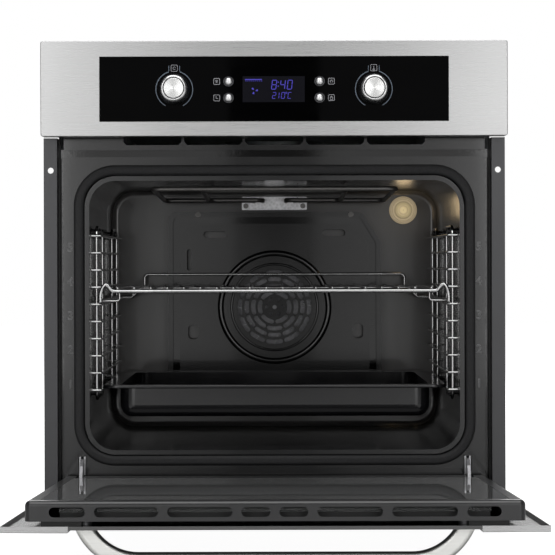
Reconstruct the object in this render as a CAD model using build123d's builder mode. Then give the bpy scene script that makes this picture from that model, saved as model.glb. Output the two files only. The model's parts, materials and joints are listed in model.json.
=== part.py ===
from build123d import *
from math import cos, degrees, radians, sin, sqrt
import os

# Built-in single wall oven with its drop-down door open. Millimetres.
# X runs across the front, Y goes into the cabinet and Z goes up. The origin is at mid width,
# on the underside, in the plane of the cabinet front.

# Overall sizes
front_width = 595.0
front_height = 595.0
body_depth = 545.0
flange_overhang = 19.0  # front beyond each side of the body
top_overlap = 20.0  # fascia above the body
sheet = 1.2  # folded sheet steel
clearance = 0.3  # between pieces that pass each other
running_fit = 0.05  # radial, shaft in its bore

body_half = front_width / 2 - flange_overhang
body_height = front_height - top_overlap
side_inner = body_half - sheet

# Control fascia
fascia_height = 121.5
fascia_depth = 25.0
fascia_corner = 3.0
panel_margin = 75.0  # steel at each end of the black glass
panel_height = 83.0
panel_drop = 20.0  # steel above the black glass
panel_thickness = 4.0
panel_proud = 0.2
carrier_margin = 8.0
carrier_thickness = 5.8
knob_height = 62.0  # below the top of the fascia
knob_spacing = 254.0
knob_radius = 16.0
skirt_radius = 20.0
knob_length = 26.0
spindle_radius = 3.0
bushing_radius = 5.0
switch_size = 34.0
switch_depth = 22.0
button_x = 58.0
button_drops = (52.0, 73.0)  # below the top of the fascia
button_radius = 4.4
button_proud = 2.8
bezel_radius = 6.6
stem_radius = 2.0
button_travel = 1.0
window_width = 79.0
window_height = 33.0
window_shift = -0.5
window_drop = 62.0
board_width = 200.0
board_height = 52.0
board_thickness = 1.6
board_blocks = ((-70.0, 22.0, 16.0), (-30.0, 18.0, 12.0), (20.0, 26.0, 20.0), (62.0, 16.0, 14.0))
board_standoff = 6.0

fascia_bottom = front_height - fascia_height
fascia_front = -fascia_depth
panel_half = front_width / 2 - panel_margin
panel_mid = front_height - panel_drop - panel_height / 2
glass_front = fascia_front - panel_proud
glass_back = glass_front + panel_thickness
carrier_front = fascia_front + sheet
carrier_back = carrier_front + carrier_thickness
knob_z = front_height - knob_height
knob_x = knob_spacing / 2
window_z = front_height - window_drop
board_front = carrier_back + board_standoff
board_back = board_front + board_thickness

# Door, drawn in its own plane at the hinge axis: x across, y up the door, z outwards
open_angle = 87.8
hinge_y = -8.0
hinge_z = 21.0
door_gap = 3.5
box_side_gap = 8.0
box_foot = -13.0
box_inner = -18.0
box_outer = 4.5
box_corner = 6.5
box_wall = 1.5
skin_foot = -5.0
skin_gap = 5.5
outer_glass = 4.0
strip_width = 74.0
strip_thickness = 5.0
inner_glass = 4.0
inner_glass_side = 15.5
inner_glass_foot = 40.0
inner_glass_top = 12.0
middle_glass = 4.0
middle_glass_side = 35.5
middle_glass_foot = 52.0
middle_glass_top = 20.0
vent_height = 10.8
vent_gap = 10.0
vent_widths = (39.0, 69.0, 70.0, 31.0, 31.0, 70.5, 71.0, 37.0)
vent_level = -5.4
handle_root = 208.0
handle_drop = 34.0
handle_radius = 65.0
handle_turn = 64.0
handle_deep = 20.0
handle_tall = 14.0
fixing_radius = 2.5

door_top = fascia_bottom - door_gap - hinge_z
box_half = body_half - box_side_gap
skin_inner = box_outer + skin_gap
skin_outer = skin_inner + outer_glass
strip_outer = skin_inner + strip_thickness + 2.0
glass_half = front_width / 2 - strip_width
glass_side = box_half - inner_glass_side
glass_foot = inner_glass_foot
glass_top = door_top - inner_glass_top
middle_side = box_half - middle_glass_side
middle_foot = middle_glass_foot
middle_top = door_top - middle_glass_top
middle_w = -8.0  # rear face of the middle glass across the door
handle_v = door_top - handle_drop
vent_row = sum(vent_widths) + vent_gap * (len(vent_widths) - 1)
turn = radians(open_angle)
door_plane = Plane(
    origin=(0, hinge_y, hinge_z),
    x_dir=(1, 0, 0),
    z_dir=(0, -cos(turn), -sin(turn)),
)

# Hinges
hinge_inset = 29.5
arm_thickness = 4.0
arm_eye = 7.0
pin_radius = 2.5
case_wall = 1.5
case_height = 200.0
receiver_slot = 10.0
receiver_bottom = 38.0
receiver_top = 62.0
receiver_depth = 50.0
notch_top = 36.0
hinge_x = body_half - hinge_inset
arm_half = arm_thickness / 2
cheek_inner = arm_half + 0.35

# Front frame, gasket and flange trims
frame_y = 18.0
frame_inset = 6.5
frame_foot = 5.0
return_depth = 12.0
channel_drop = 24.5  # channel bottom below the fascia
channel_height = 10.0
channel_depth = 8.0
vent_strip_top = 11.5  # strip above the fascia's lower edge
strip_slot = 75.0
strip_pitch = 78.7
strip_slot_drop = 9.1
flange_thickness = 2.0
flange_foot = 2.0
trim_edge = 1.5
fixing_hole = 3.8
fixing_x = 287.0
fixing_drop = 42.5

frame_half = body_half - frame_inset
channel_bottom = fascia_bottom - channel_drop
channel_top = channel_bottom + channel_height
strip_top = fascia_bottom + vent_strip_top

# Cavity
side_space = 39.5
cavity_floor = 70.5
cavity_head = 51.6  # cavity ceiling below the top of the door
rear_space = 115.0
mouth_corner = 34.0
rear_corner = 8.5
lip_width = 7.0
lip_proud = 3.5
gasket_groove = 13.3
gasket_proud = 7.4
groove_depth = 4.8
cavity_half = body_half - side_space
cavity_top = door_top + hinge_z - cavity_head
cavity_rear = body_depth - rear_space
cavity_height = cavity_top - cavity_floor
cavity_mid = (cavity_top + cavity_floor) / 2
liner_front = frame_y + sheet

# Fan baffle, fan and heating elements
baffle_front = cavity_rear - 26.0
baffle_width = 312.0
baffle_head = 32.4
baffle_foot = 26.0
baffle_chamfer_x = 28.0
baffle_chamfer_z = 43.0
baffle_corner = 20.0
channel_inset = 7.0
channel_wide = 10.0
baffle_channel = 8.0
fan_rise = 2.5
grille_ring = 79.0
grille_bead = 4.5
grille_slot = 6.4
grille_rings = ((51.0, 12), (41.2, 12), (31.4, 8), (21.6, 6))
hub_holes = 6
fan_radius = 70.0
fan_depth = 15.0
fan_blades = 12
fan_shaft = 4.0
motor_radius = 38.0
motor_length = 46.0
tube_radius = 3.25
ring_radius = 95.0
ring_lead = 14.0
grill_reach = 70.0
grill_half = 160.0
grill_inner_half = 96.0
grill_lift = 6.5
lamp_side = 49.0
lamp_head = 29.4
lamp_radius = 20.4
bulb_base = 3.5
element_plate_half = 48.0
element_plate_height = 19.5
element_plate_head = 9.0
element_pins = (17.0, 30.0)
element_drop = 6.5

fan_z = cavity_mid + fan_rise
ring_lead_z = fan_z - sqrt(ring_radius**2 - ring_lead**2)
lamp_x = cavity_half - lamp_side
lamp_z = cavity_top - lamp_head
plate_top = cavity_top - element_plate_head
pin_z = plate_top - element_drop
baffle_top = cavity_top - baffle_head
baffle_bottom = cavity_floor + baffle_foot

# Side racks, shelf and tray
rung_count = 10
rung_pitch = 22.3
rung_bottom = 146.8
rung_radius = 1.5
rung_inset = 14.5
rung_front = 33.0
rung_rear_gap = 27.0
post_radius = 2.0
post_inset = 7.5
post_pitch = 94.6
loop_margin = 11.5
loop_corner = 14.0
shelf_rung = 5
tray_rung = 0
rail_radius = 2.5
rail_inset = 13.2
shelf_front = 27.0
shelf_rear_gap = 9.0
grid_rise = 12.9
hump_rise = 21.4
rod_radius = 1.6
rod_count = 20
rod_inset = 35.7
tie_radius = 1.3
weld_bead = 0.4
guard_rise = 16.0
guard_inset = 49.0
tray_front = 40.0
tray_rear_gap = 4.0
tray_flange = 21.5
tray_rim = 4.3
tray_depth = 42.5
tray_corner = 20.0
tray_side_gap = 14.2
travel = 350.0

# Body shell, insulation and cooling fan
insulation_side = 9.0
insulation_foot = 24.0
insulation_rear = 38.0
duct_half = 200.0
duct_height = 25.0
duct_length = 400.0
cool_fan_y = 310.0
cool_radius = 85.0
cool_height = 40.0
rotor_radius = 68.0
rotor_blades = 18
cool_shaft = 3.0
cool_motor_radius = 36.0

deck_z = channel_top - sheet


def front_plane(y):
    """Plane at depth y that faces the user: sketch x is X and sketch y is Z."""
    return Plane.XZ.offset(-y)


def block(x, y, z, mode=Mode.ADD):
    """Box between two values along each axis."""
    with Locations(((x[0] + x[1]) / 2, (y[0] + y[1]) / 2, (z[0] + z[1]) / 2)):
        Box(x[1] - x[0], y[1] - y[0], z[1] - z[0], mode=mode)


def rod(start, end, radius, mode=Mode.ADD):
    """Round bar between two points."""
    axis = Vector(*end) - Vector(*start)
    with Locations(Plane(origin=start, z_dir=axis)):
        Cylinder(radius, axis.length, align=(Align.CENTER, Align.CENTER, Align.MIN), mode=mode)


def save(piece, name):
    """Label a finished piece and write it to its own file."""
    piece.part.label = name
    export_step(piece.part, f"parts/{name}.step")


# ---------------------------------------------------------------- body shell
def base_pan():
    with BuildPart() as pan:
        block((-side_inner, side_inner), (frame_y + return_depth, body_depth - sheet), (0, sheet))
        block(
            (-side_inner, side_inner),
            (frame_y + return_depth, frame_y + return_depth + sheet),
            (sheet, 2 * frame_foot),
        )
    return pan


def side_panel(side):
    outer, inner = side * body_half, side * side_inner
    low, high = min(outer, inner), max(outer, inner)
    bracket = sorted((side * side_inner, side * (side_inner - sheet)))
    with BuildPart() as panel:
        block((low, high), (frame_y + 2.0, body_depth - sheet), (0, body_height - sheet))
        # tab that carries the fascia, inside the panel
        block(bracket, (fascia_front + sheet, 60.0), (fascia_bottom + 6.0, body_height - 10.0))
        with BuildSketch(Plane.YZ.offset(low)):
            with Locations((body_depth / 2, body_height - 40.0)):
                with GridLocations(30.0, 0, 8, 1):
                    SlotOverall(22.0, 5.0, rotation=90)
        extrude(amount=sheet, mode=Mode.SUBTRACT)
    return panel


def top_panel():
    with BuildPart() as panel:
        block((-body_half, body_half), (frame_y + 2.0, body_depth), (body_height - sheet, body_height))
        with BuildSketch(Plane.XY.offset(body_height - sheet)):
            with Locations((0, cool_fan_y)):
                with GridLocations(14.0, 70.0, 12, 2):
                    SlotOverall(55.0, 6.0, rotation=90)
        extrude(amount=sheet, mode=Mode.SUBTRACT)
    return panel


def back_panel():
    with BuildPart() as panel:
        block((-body_half, body_half), (body_depth - sheet, body_depth), (0, body_height - sheet))
        with BuildSketch(front_plane(body_depth)):
            with Locations((0, fan_z)):
                with GridLocations(12.0, 0, 9, 1):
                    SlotOverall(70.0, 5.0, rotation=90)
            with Locations((body_half - 90.0, body_height - 60.0)):
                with GridLocations(12.0, 0, 8, 1):
                    SlotOverall(50.0, 5.0, rotation=90)
        extrude(amount=sheet, mode=Mode.SUBTRACT)
    return panel


def insulation():
    rear = cavity_rear + sheet + insulation_rear
    with BuildPart() as wool:
        block(
            (-side_inner + insulation_side, side_inner - insulation_side),
            (frame_y + return_depth + 2 * sheet, rear),
            (insulation_foot, deck_z),
        )
        with BuildSketch(front_plane(0)):
            with Locations((0, cavity_mid)):
                RectangleRounded(
                    2 * (cavity_half + sheet + clearance),
                    cavity_height + 2 * (sheet + clearance),
                    mouth_corner + sheet,
                )
        extrude(amount=-(cavity_rear + sheet + clearance), mode=Mode.SUBTRACT)
        # bottom element below the floor, motor, lamp and terminals behind the rear wall
        block(
            (-cavity_half + 30.0, cavity_half - 30.0),
            (60.0, cavity_rear + 30.0),
            (cavity_floor - 14.0, cavity_floor + 5.0),
            mode=Mode.SUBTRACT,
        )
        with Locations(front_plane(rear) * Pos(0, fan_z)):
            Cylinder(motor_radius + 26.0, 4 * insulation_rear, mode=Mode.SUBTRACT)
        with Locations(front_plane(rear) * Pos(lamp_x, lamp_z)):
            Cylinder(lamp_radius + 2.0, 4 * insulation_rear, mode=Mode.SUBTRACT)
        block(
            (-element_plate_half - 6.0, element_plate_half + 6.0),
            (cavity_rear - 5.0, rear + 5.0),
            (plate_top - element_plate_height - 5.0, plate_top + 5.0),
            mode=Mode.SUBTRACT,
        )
        block(
            (-ring_lead - 8.0, ring_lead + 8.0),
            (cavity_rear - 5.0, rear + 5.0),
            (ring_lead_z - 8.0, ring_lead_z + 8.0),
            mode=Mode.SUBTRACT,
        )
        for side in (-1, 1):
            block(
                sorted((side * (hinge_x - 9.0), side * (hinge_x + 9.0))),
                (0, frame_y + receiver_depth + 8.0),
                (receiver_bottom - 8.0, receiver_top + 8.0),
                mode=Mode.SUBTRACT,
            )
        # room for the gasket groove behind the frame
        block(
            (-cavity_half - 25.0, cavity_half + 25.0),
            (0, frame_y + return_depth + 6.0),
            (cavity_floor - 25.0, cavity_top + 25.0),
            mode=Mode.SUBTRACT,
        )
    return wool


def upper_deck():
    """Plate over the insulation and the flat duct that leads the cooling air to the front."""
    top = deck_z + sheet + duct_height
    with BuildPart() as deck:
        block(
            (-side_inner, side_inner),
            (frame_y + channel_depth, body_depth - sheet),
            (deck_z, deck_z + sheet),
        )
        block((-duct_half, duct_half), (frame_y + channel_depth, duct_length), (deck_z + sheet, top))
        block(
            (-duct_half + sheet, duct_half - sheet),
            (frame_y + channel_depth, duct_length - sheet),
            (deck_z + sheet, top - sheet),
            mode=Mode.SUBTRACT,
        )
        with Locations((0, cool_fan_y, top)):
            Cylinder(rotor_radius + 3.0, 4 * sheet, mode=Mode.SUBTRACT)
    return deck


def cooling_fan_housing():
    base = deck_z + sheet + duct_height
    with BuildPart() as housing:
        with BuildSketch(Plane.XY.offset(base)):
            with Locations((0, cool_fan_y)):
                Circle(cool_radius)
        extrude(amount=cool_height)
        with BuildSketch(Plane.XY.offset(base)):
            with Locations((0, cool_fan_y)):
                Circle(cool_radius - sheet)
        extrude(amount=cool_height - sheet, mode=Mode.SUBTRACT)
        with BuildSketch(Plane.XY.offset(base)):
            with Locations((0, cool_fan_y)):
                Circle(rotor_radius - 20.0)
        extrude(amount=cool_height, mode=Mode.SUBTRACT)
    return housing


def cooling_fan_motor():
    base = deck_z + sheet + duct_height + cool_height
    with BuildPart() as motor:
        with Locations((0, cool_fan_y, base + 3.0)):
            Cylinder(cool_motor_radius, 22.0, align=(Align.CENTER, Align.CENTER, Align.MIN))
            with PolarLocations(0, 3):
                with Locations((cool_radius / 2 - 12.0, 0)):
                    Box(cool_radius - 6.0, 14.0, 2.0, align=(Align.CENTER, Align.CENTER, Align.MIN))
        with Locations((0, cool_fan_y, base)):
            with PolarLocations(cool_radius - 20.0, 3):
                Cylinder(5.0, 5.0, align=(Align.CENTER, Align.CENTER, Align.MIN))
        with Locations((0, cool_fan_y, base)):
            Cylinder(cool_shaft + running_fit, 60.0, mode=Mode.SUBTRACT)
    return motor


def cooling_fan_rotor():
    base = deck_z + sheet + duct_height + 5.0
    blade = cool_height - 16.0
    with BuildPart() as rotor:
        with Locations((0, cool_fan_y, base)):
            Cylinder(rotor_radius, 1.5, align=(Align.CENTER, Align.CENTER, Align.MIN))
            Cylinder(12.0, 14.0, align=(Align.CENTER, Align.CENTER, Align.MIN))
            Cylinder(
                cool_shaft, cool_height + 14.0, align=(Align.CENTER, Align.CENTER, Align.MIN)
            )
            with PolarLocations(rotor_radius - 11.0, rotor_blades):
                with Locations(Location((0, 0, 1.0), (0, 0, 25))):
                    Box(20.0, 1.5, blade, align=(Align.CENTER, Align.CENTER, Align.MIN))
    return rotor


def terminal_box():
    """Mains terminal housing inside the back panel, with its covered cable entry."""
    x, z = -body_half + 60.0, body_height - 70.0
    with BuildPart() as box:
        block((x, x + 84.0), (body_depth - sheet - 28.0, body_depth - sheet), (z, z + 50.0))
        block(
            (x + 2.0, x + 82.0),
            (body_depth - sheet - 26.0, body_depth - sheet - 2.0),
            (z + 2.0, z + 48.0),
            mode=Mode.SUBTRACT,
        )
        block(
            (x + 8.0, x + 76.0),
            (body_depth - sheet - 26.5, body_depth - sheet - 10.0),
            (z + 1.5, z + 22.0),
        )
        entry = (x + 42.0, body_depth - 15.0)
        rod((*entry, z - 1.0), (*entry, z + 3.0), 6.0, Mode.SUBTRACT)
    return box


# ---------------------------------------------------------------- cavity
def front_frame():
    """Enamelled front: face, gasket groove, lip of the mouth, channel and vent strip."""
    with BuildPart() as frame:
        block((-frame_half, frame_half), (frame_y, frame_y + sheet), (frame_foot, channel_bottom))
        # returns at the sides and foot
        for side in (-1, 1):
            block(
                sorted((side * frame_half, side * (frame_half - sheet))),
                (frame_y, frame_y + return_depth),
                (frame_foot, channel_bottom),
            )
            block(
                sorted((side * frame_half, side * side_inner)),
                (frame_y + return_depth - sheet, frame_y + return_depth),
                (frame_foot, channel_bottom),
            )
        block(
            (-frame_half, frame_half),
            (frame_y, frame_y + return_depth),
            (frame_foot, frame_foot + sheet),
        )
        # channel across the top, set back, and the vent strip above it
        block(
            (-frame_half, frame_half),
            (frame_y, frame_y + channel_depth),
            (channel_bottom - sheet, channel_bottom),
        )
        block(
            (-side_inner, side_inner),
            (frame_y + channel_depth - sheet, frame_y + channel_depth),
            (channel_bottom - sheet, channel_top),
        )
        block(
            (-frame_half, frame_half),
            (frame_y, frame_y + channel_depth),
            (channel_top - sheet, channel_top),
        )
        block((-frame_half, frame_half), (frame_y, frame_y + sheet), (channel_top - sheet, strip_top))
        # groove that seats the gasket
        groove_half = cavity_half + lip_width + gasket_groove
        groove_height = cavity_height / 2 + lip_width + gasket_groove
        groove_corner = mouth_corner + lip_width + gasket_groove
        with BuildSketch(front_plane(frame_y)):
            with Locations((0, cavity_mid)):
                RectangleRounded(
                    2 * (groove_half + sheet), 2 * (groove_height + sheet), groove_corner
                )
        extrude(amount=-(groove_depth + sheet))
        with BuildSketch(front_plane(frame_y)):
            with Locations((0, cavity_mid)):
                RectangleRounded(2 * groove_half, 2 * groove_height, groove_corner - sheet)
                RectangleRounded(
                    2 * (cavity_half + lip_width),
                    cavity_height + 2 * lip_width,
                    mouth_corner + lip_width,
                    mode=Mode.SUBTRACT,
                )
        extrude(amount=-groove_depth, mode=Mode.SUBTRACT)
        # lip
        with BuildSketch(front_plane(frame_y)):
            with Locations((0, cavity_mid)):
                RectangleRounded(
                    2 * (cavity_half + lip_width),
                    cavity_height + 2 * lip_width,
                    mouth_corner + lip_width,
                )
        extrude(amount=lip_proud)
        fillet(frame.faces().sort_by(Axis.Y)[0].edges(), 1.6)
        with BuildSketch(front_plane(-fascia_depth)):
            with Locations((0, cavity_mid)):
                RectangleRounded(2 * cavity_half, cavity_height, mouth_corner)
        extrude(amount=-(fascia_depth + frame_y + return_depth + 10.0), mode=Mode.SUBTRACT)
        # pocket behind the lip for the liner's flange
        with BuildSketch(front_plane(liner_front)):
            with Locations((0, cavity_mid)):
                RectangleRounded(
                    2 * (cavity_half + lip_width - sheet),
                    cavity_height + 2 * (lip_width - sheet),
                    mouth_corner + lip_width - sheet,
                )
        extrude(amount=-return_depth, mode=Mode.SUBTRACT)
        # air slots with chamfered lower corners
        with BuildSketch(front_plane(frame_y)):
            with Locations((0, (fascia_bottom - strip_slot_drop + strip_top - 3.0) / 2)):
                with GridLocations(strip_pitch, 0, 5, 1):
                    Rectangle(strip_slot, strip_top - 3.0 - fascia_bottom + strip_slot_drop)
            chamfer(vertices(Select.ALL).group_by(Axis.Y)[0], 4.0)
        extrude(amount=-sheet, mode=Mode.SUBTRACT)
        # hinge slots
        for side in (-1, 1):
            block(
                sorted((side * (hinge_x - receiver_slot / 2), side * (hinge_x + receiver_slot / 2))),
                (frame_y, frame_y + sheet),
                (receiver_bottom, receiver_top),
                mode=Mode.SUBTRACT,
            )
    return frame


def door_gasket():
    half = cavity_half + lip_width + gasket_groove - 0.4
    tall = cavity_height / 2 + lip_width + gasket_groove - 0.4
    corner = mouth_corner + lip_width + gasket_groove - sheet - 0.4
    inner = gasket_groove - 0.8
    seat = frame_y + groove_depth
    with BuildPart() as gasket:
        with BuildSketch(front_plane(seat)):
            with Locations((0, cavity_mid)):
                RectangleRounded(2 * half, 2 * tall, corner)
                RectangleRounded(2 * (half - inner), 2 * (tall - inner), corner - inner, mode=Mode.SUBTRACT)
        extrude(amount=groove_depth + gasket_proud)
        fillet(gasket.faces().sort_by(Axis.Y)[0].edges(), 4.5)
    return gasket


def side_trim(side):
    outer = side * (front_width / 2 - trim_edge)
    with BuildPart() as trim:
        block(
            sorted((side * body_half, outer)),
            (-flange_thickness, 0),
            (flange_foot, fascia_bottom - 1.0),
        )
        block(
            sorted((side * body_half, side * (body_half + sheet))),
            (0, frame_y + channel_depth),
            (flange_foot, fascia_bottom - 1.0),
        )
        fillet(trim.faces().sort_by(Axis.Y)[0].edges().filter_by(Axis.Z), 0.8)
        with Locations(front_plane(0) * Pos(side * fixing_x, fascia_bottom - fixing_drop)):
            Cylinder(fixing_hole, 4 * flange_thickness, mode=Mode.SUBTRACT)
    return trim


def lower_trim():
    with BuildPart() as trim:
        block(
            (-front_width / 2 + trim_edge, front_width / 2 - trim_edge),
            (-flange_thickness, frame_y + 2.0),
            (0, flange_foot),
        )
        block((-side_inner, side_inner), (0, frame_y + return_depth), (0, flange_foot))
        block(
            (-side_inner, side_inner),
            (frame_y + 4.0, frame_y + 4.0 + sheet),
            (flange_foot, frame_foot),
        )
    return trim


def cavity_liner():
    """Enamelled muffle with rounded edges, front flange and the studs of the side racks."""
    with BuildPart() as liner:
        with BuildSketch(front_plane(liner_front)):
            with Locations((0, cavity_mid)):
                RectangleRounded(
                    2 * (cavity_half + sheet), cavity_height + 2 * sheet, mouth_corner + sheet
                )
        extrude(amount=-(cavity_rear + sheet - liner_front))
        fillet(liner.faces().sort_by(Axis.Y)[-1].edges(), rear_corner + sheet)
        with BuildSketch(front_plane(liner_front)):
            with Locations((0, cavity_mid)):
                RectangleRounded(
                    2 * (cavity_half + lip_width - sheet) - 2 * clearance,
                    cavity_height + 2 * (lip_width - sheet) - 2 * clearance,
                    mouth_corner + lip_width - sheet,
                )
        extrude(amount=-sheet)
        with BuildPart(mode=Mode.PRIVATE) as room:
            with BuildSketch(front_plane(liner_front)):
                with Locations((0, cavity_mid)):
                    RectangleRounded(2 * cavity_half, cavity_height, mouth_corner)
            extrude(amount=-(cavity_rear - liner_front))
            fillet(room.faces().sort_by(Axis.Y)[-1].edges(), rear_corner)
        add(room.part, mode=Mode.SUBTRACT)
        rear = front_plane(cavity_rear)
        with Locations(rear * Pos(0, fan_z)):
            Cylinder(fan_shaft + 4.0, 8 * sheet, mode=Mode.SUBTRACT)
        with Locations(rear * Pos(lamp_x, lamp_z)):
            Cylinder(lamp_radius - 4.0, 8 * sheet, mode=Mode.SUBTRACT)
        for pin in element_pins:
            for side in (-1, 1):
                with Locations(rear * Pos(side * pin, pin_z)):
                    Cylinder(tube_radius + clearance, 8 * sheet, mode=Mode.SUBTRACT)
        for side in (-1, 1):
            with Locations(rear * Pos(side * ring_lead, ring_lead_z)):
                Cylinder(tube_radius + clearance, 8 * sheet, mode=Mode.SUBTRACT)
        # studs that hold the side racks
        for side in (-1, 1):
            for y in loop_middles:
                for z in (loop_top - post_radius - 4.0, loop_bottom + post_radius + 4.0):
                    rod(
                        (side * (cavity_half + 0.6), y, z),
                        (side * (cavity_half - post_inset - post_radius - 1.0), y, z),
                        4.0,
                    )
    return liner


def baffle_points(inset, foot):
    """Corners of the baffle's outline, set in by a margin and ending at a given height."""
    half = baffle_width / 2 - inset
    cut_x = half - baffle_chamfer_x + inset * 0.65
    return (
        (-half, foot),
        (half, foot),
        (half, baffle_top - baffle_chamfer_z - inset * 0.35),
        (cut_x, baffle_top - inset),
        (-half, baffle_top - inset),
    )


def baffle_profile(inset, foot, radius):
    """Rounded outline of the baffle as a standalone sketch."""
    with BuildSketch() as profile:
        with BuildLine():
            FilletPolyline(*baffle_points(inset, foot), radius=radius, close=True)
        make_face()
    return profile.sketch


def fan_baffle():
    """Pressed cover of the fan: rim, channel, fan grille, clearance slots and locating holes."""
    below = baffle_bottom - 40.0
    inner_edge = channel_inset + channel_wide
    outline = baffle_profile(0.0, baffle_bottom, 12.0)
    hollow = baffle_profile(sheet, baffle_bottom + sheet, 11.0)
    ring_outer = baffle_profile(channel_inset, below, 9.0)
    ring_inner = baffle_profile(inner_edge, below, 8.0)
    ridge_outer = baffle_profile(channel_inset - sheet, below, 9.0)
    ridge_inner = baffle_profile(inner_edge + sheet, below, 8.0)
    with BuildPart() as baffle:
        with BuildSketch(front_plane(baffle_front)):
            add(outline)
        extrude(amount=-(cavity_rear - baffle_front))
        with BuildSketch(front_plane(baffle_front + baffle_channel + sheet)):
            add(hollow)
        extrude(amount=-cavity_rear, mode=Mode.SUBTRACT)
        with BuildSketch(front_plane(baffle_front + sheet)):
            add(hollow)
            add(ridge_outer, mode=Mode.SUBTRACT)
            add(ridge_inner & hollow)
        extrude(amount=-baffle_channel - sheet, mode=Mode.SUBTRACT)
        with BuildSketch(front_plane(baffle_front)):
            add(ring_outer)
            add(ring_inner, mode=Mode.SUBTRACT)
        extrude(amount=-baffle_channel, mode=Mode.SUBTRACT)
        # round bead and raised step about the grille
        with BuildSketch(Plane.YZ.offset(0)):
            with Locations((baffle_front + sheet / 2, fan_z + grille_ring)):
                Circle(grille_bead)
            with Locations((baffle_front + sheet, fan_z + grille_ring - 16.0)):
                Circle(grille_bead / 2)
        revolve(axis=Axis((0, 0, fan_z), (0, 1, 0)))
        with BuildSketch(front_plane(baffle_front - 10.0)):
            for radius, count in grille_rings:
                with Locations((0, fan_z)):
                    for n in range(count):
                        pitch = 360.0 / count
                        land = degrees(8.5 / radius)
                        with Locations((0, 0)):
                            with BuildLine(mode=Mode.PRIVATE) as slot:
                                CenterArc((0, 0), radius, n * pitch + land / 2 + pitch / 2, pitch - land)
                            SlotArc(slot.line.edges()[0], grille_slot)
            with Locations((0, fan_z)):
                Circle(3.2)
                with PolarLocations(12.0, hub_holes):
                    Circle(2.6)
        extrude(amount=-24.0, mode=Mode.SUBTRACT)
        # openings of the flat field
        with BuildSketch(front_plane(baffle_front)):
            with Locations((-87.0, cavity_top - 65.0), (87.0, cavity_top - 63.0)):
                SlotOverall(34.0, 10.0)
            with Locations((-125.0, cavity_top - 102.0)):
                RectangleRounded(7.0, 31.0, 3.4)
            with Locations((-119.0, cavity_floor + 140.0), (122.0, cavity_floor + 141.0)):
                RectangleRounded(16.0, 21.0, 6.0)
        extrude(amount=-2 * sheet, mode=Mode.SUBTRACT)
        # fixing holes in the rim
        for x, z in screw_places():
            with Locations(front_plane(baffle_front) * Pos(x, z)):
                Cylinder(2.2, 4 * sheet, mode=Mode.SUBTRACT)
    return baffle


def screw_places():
    inset = channel_inset / 2
    return (
        (-112.0, baffle_top - inset),
        (112.0, baffle_top - inset),
        (-baffle_width / 2 + inset, baffle_bottom + 12.0),
        (baffle_width / 2 - inset, baffle_bottom + 12.0),
    )


def cavity_screws():
    """Pan-head screws of the baffle and of the terminal plate of the upper element."""
    with BuildPart() as screws:
        for x, z in screw_places():
            with Locations(front_plane(baffle_front) * Pos(x, z)):
                Cylinder(4.0, 2.0, align=(Align.CENTER, Align.CENTER, Align.MIN))
                Cylinder(2.0, 7.0, align=(Align.CENTER, Align.CENTER, Align.MAX))
        for side in (-1, 1):
            place = Pos(side * (element_plate_half - 6.0), plate_top - 13.5)
            with Locations(front_plane(cavity_rear - 1.6) * place):
                Cylinder(3.8, 1.2, align=(Align.CENTER, Align.CENTER, Align.MIN))
                Cylinder(1.8, 1.6, align=(Align.CENTER, Align.CENTER, Align.MAX))
    return screws


def element_plate():
    """Plate that closes the passage of the upper element's terminals."""
    with BuildPart() as plate:
        with BuildSketch(front_plane(cavity_rear)):
            with Locations((0, plate_top - element_plate_height / 2)):
                RectangleRounded(2 * element_plate_half, element_plate_height, 1.5)
        extrude(amount=1.6)
        for side in (-1, 1):
            for pin in element_pins:
                with Locations(front_plane(cavity_rear) * Pos(side * pin, pin_z)):
                    Cylinder(tube_radius, 8.0, mode=Mode.SUBTRACT)
            place = Pos(side * (element_plate_half - 6.0), plate_top - 13.5)
            with Locations(front_plane(cavity_rear) * place):
                Cylinder(1.8, 8.0, mode=Mode.SUBTRACT)
        with Locations(front_plane(cavity_rear - 1.6) * Pos(0, pin_z)):
            Cylinder(2.6, 2.0, align=(Align.CENTER, Align.CENTER, Align.MIN))
    return plate


def wire(points, radius, bend):
    """Bent wire or tube: straight runs joined by tangent arcs."""
    with BuildPart() as run:
        with BuildLine() as path:
            FilletPolyline(*points, radius=bend)
        with BuildSketch(Plane(origin=path.line @ 0, z_dir=path.line % 0)):
            Circle(radius)
        sweep(path=path.wires()[0])
    return run.part


def grill_element():
    """Two tubular loops under the ceiling, both ending behind the terminal plate."""
    back = cavity_rear + sheet + 14.0
    inner, outer = element_pins
    front_z = pin_z + grill_lift
    turn_y = cavity_rear - 42.0
    with BuildPart() as element:
        for pin, half, front in (
            (outer, grill_half, grill_reach),
            (inner, grill_inner_half, grill_reach + 62.0),
        ):
            step = turn_y if pin == outer else turn_y - 18.0
            add(
                wire(
                    (
                        (-pin, back, pin_z),
                        (-pin, step, pin_z),
                        (-half, step, pin_z),
                        (-half, front, front_z),
                        (half, front, front_z),
                        (half, step, pin_z),
                        (pin, step, pin_z),
                        (pin, back, pin_z),
                    ),
                    tube_radius,
                    12.0,
                )
            )
    return element


def ring_element():
    """Tubular ring about the fan, with its two ends turned back through the rear wall."""
    y = cavity_rear - 12.0
    lead, low = ring_lead, ring_lead_z
    with BuildPart() as element:
        with BuildSketch(Plane.YZ.offset(0)):
            with Locations((y, fan_z - ring_radius)):
                Circle(tube_radius)
        revolve(axis=Axis((0, 0, fan_z), (0, 1, 0)))
        block((-lead, lead), (y - 6.0, y + 6.0), (low - 9.0, low + 9.0), mode=Mode.SUBTRACT)
        for side in (-1, 1):
            rod((side * lead, y, low), (side * lead, cavity_rear + sheet + 14.0, low), tube_radius)
            with Locations((side * lead, y, low)):
                Sphere(tube_radius + weld_bead)
    return element


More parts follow.
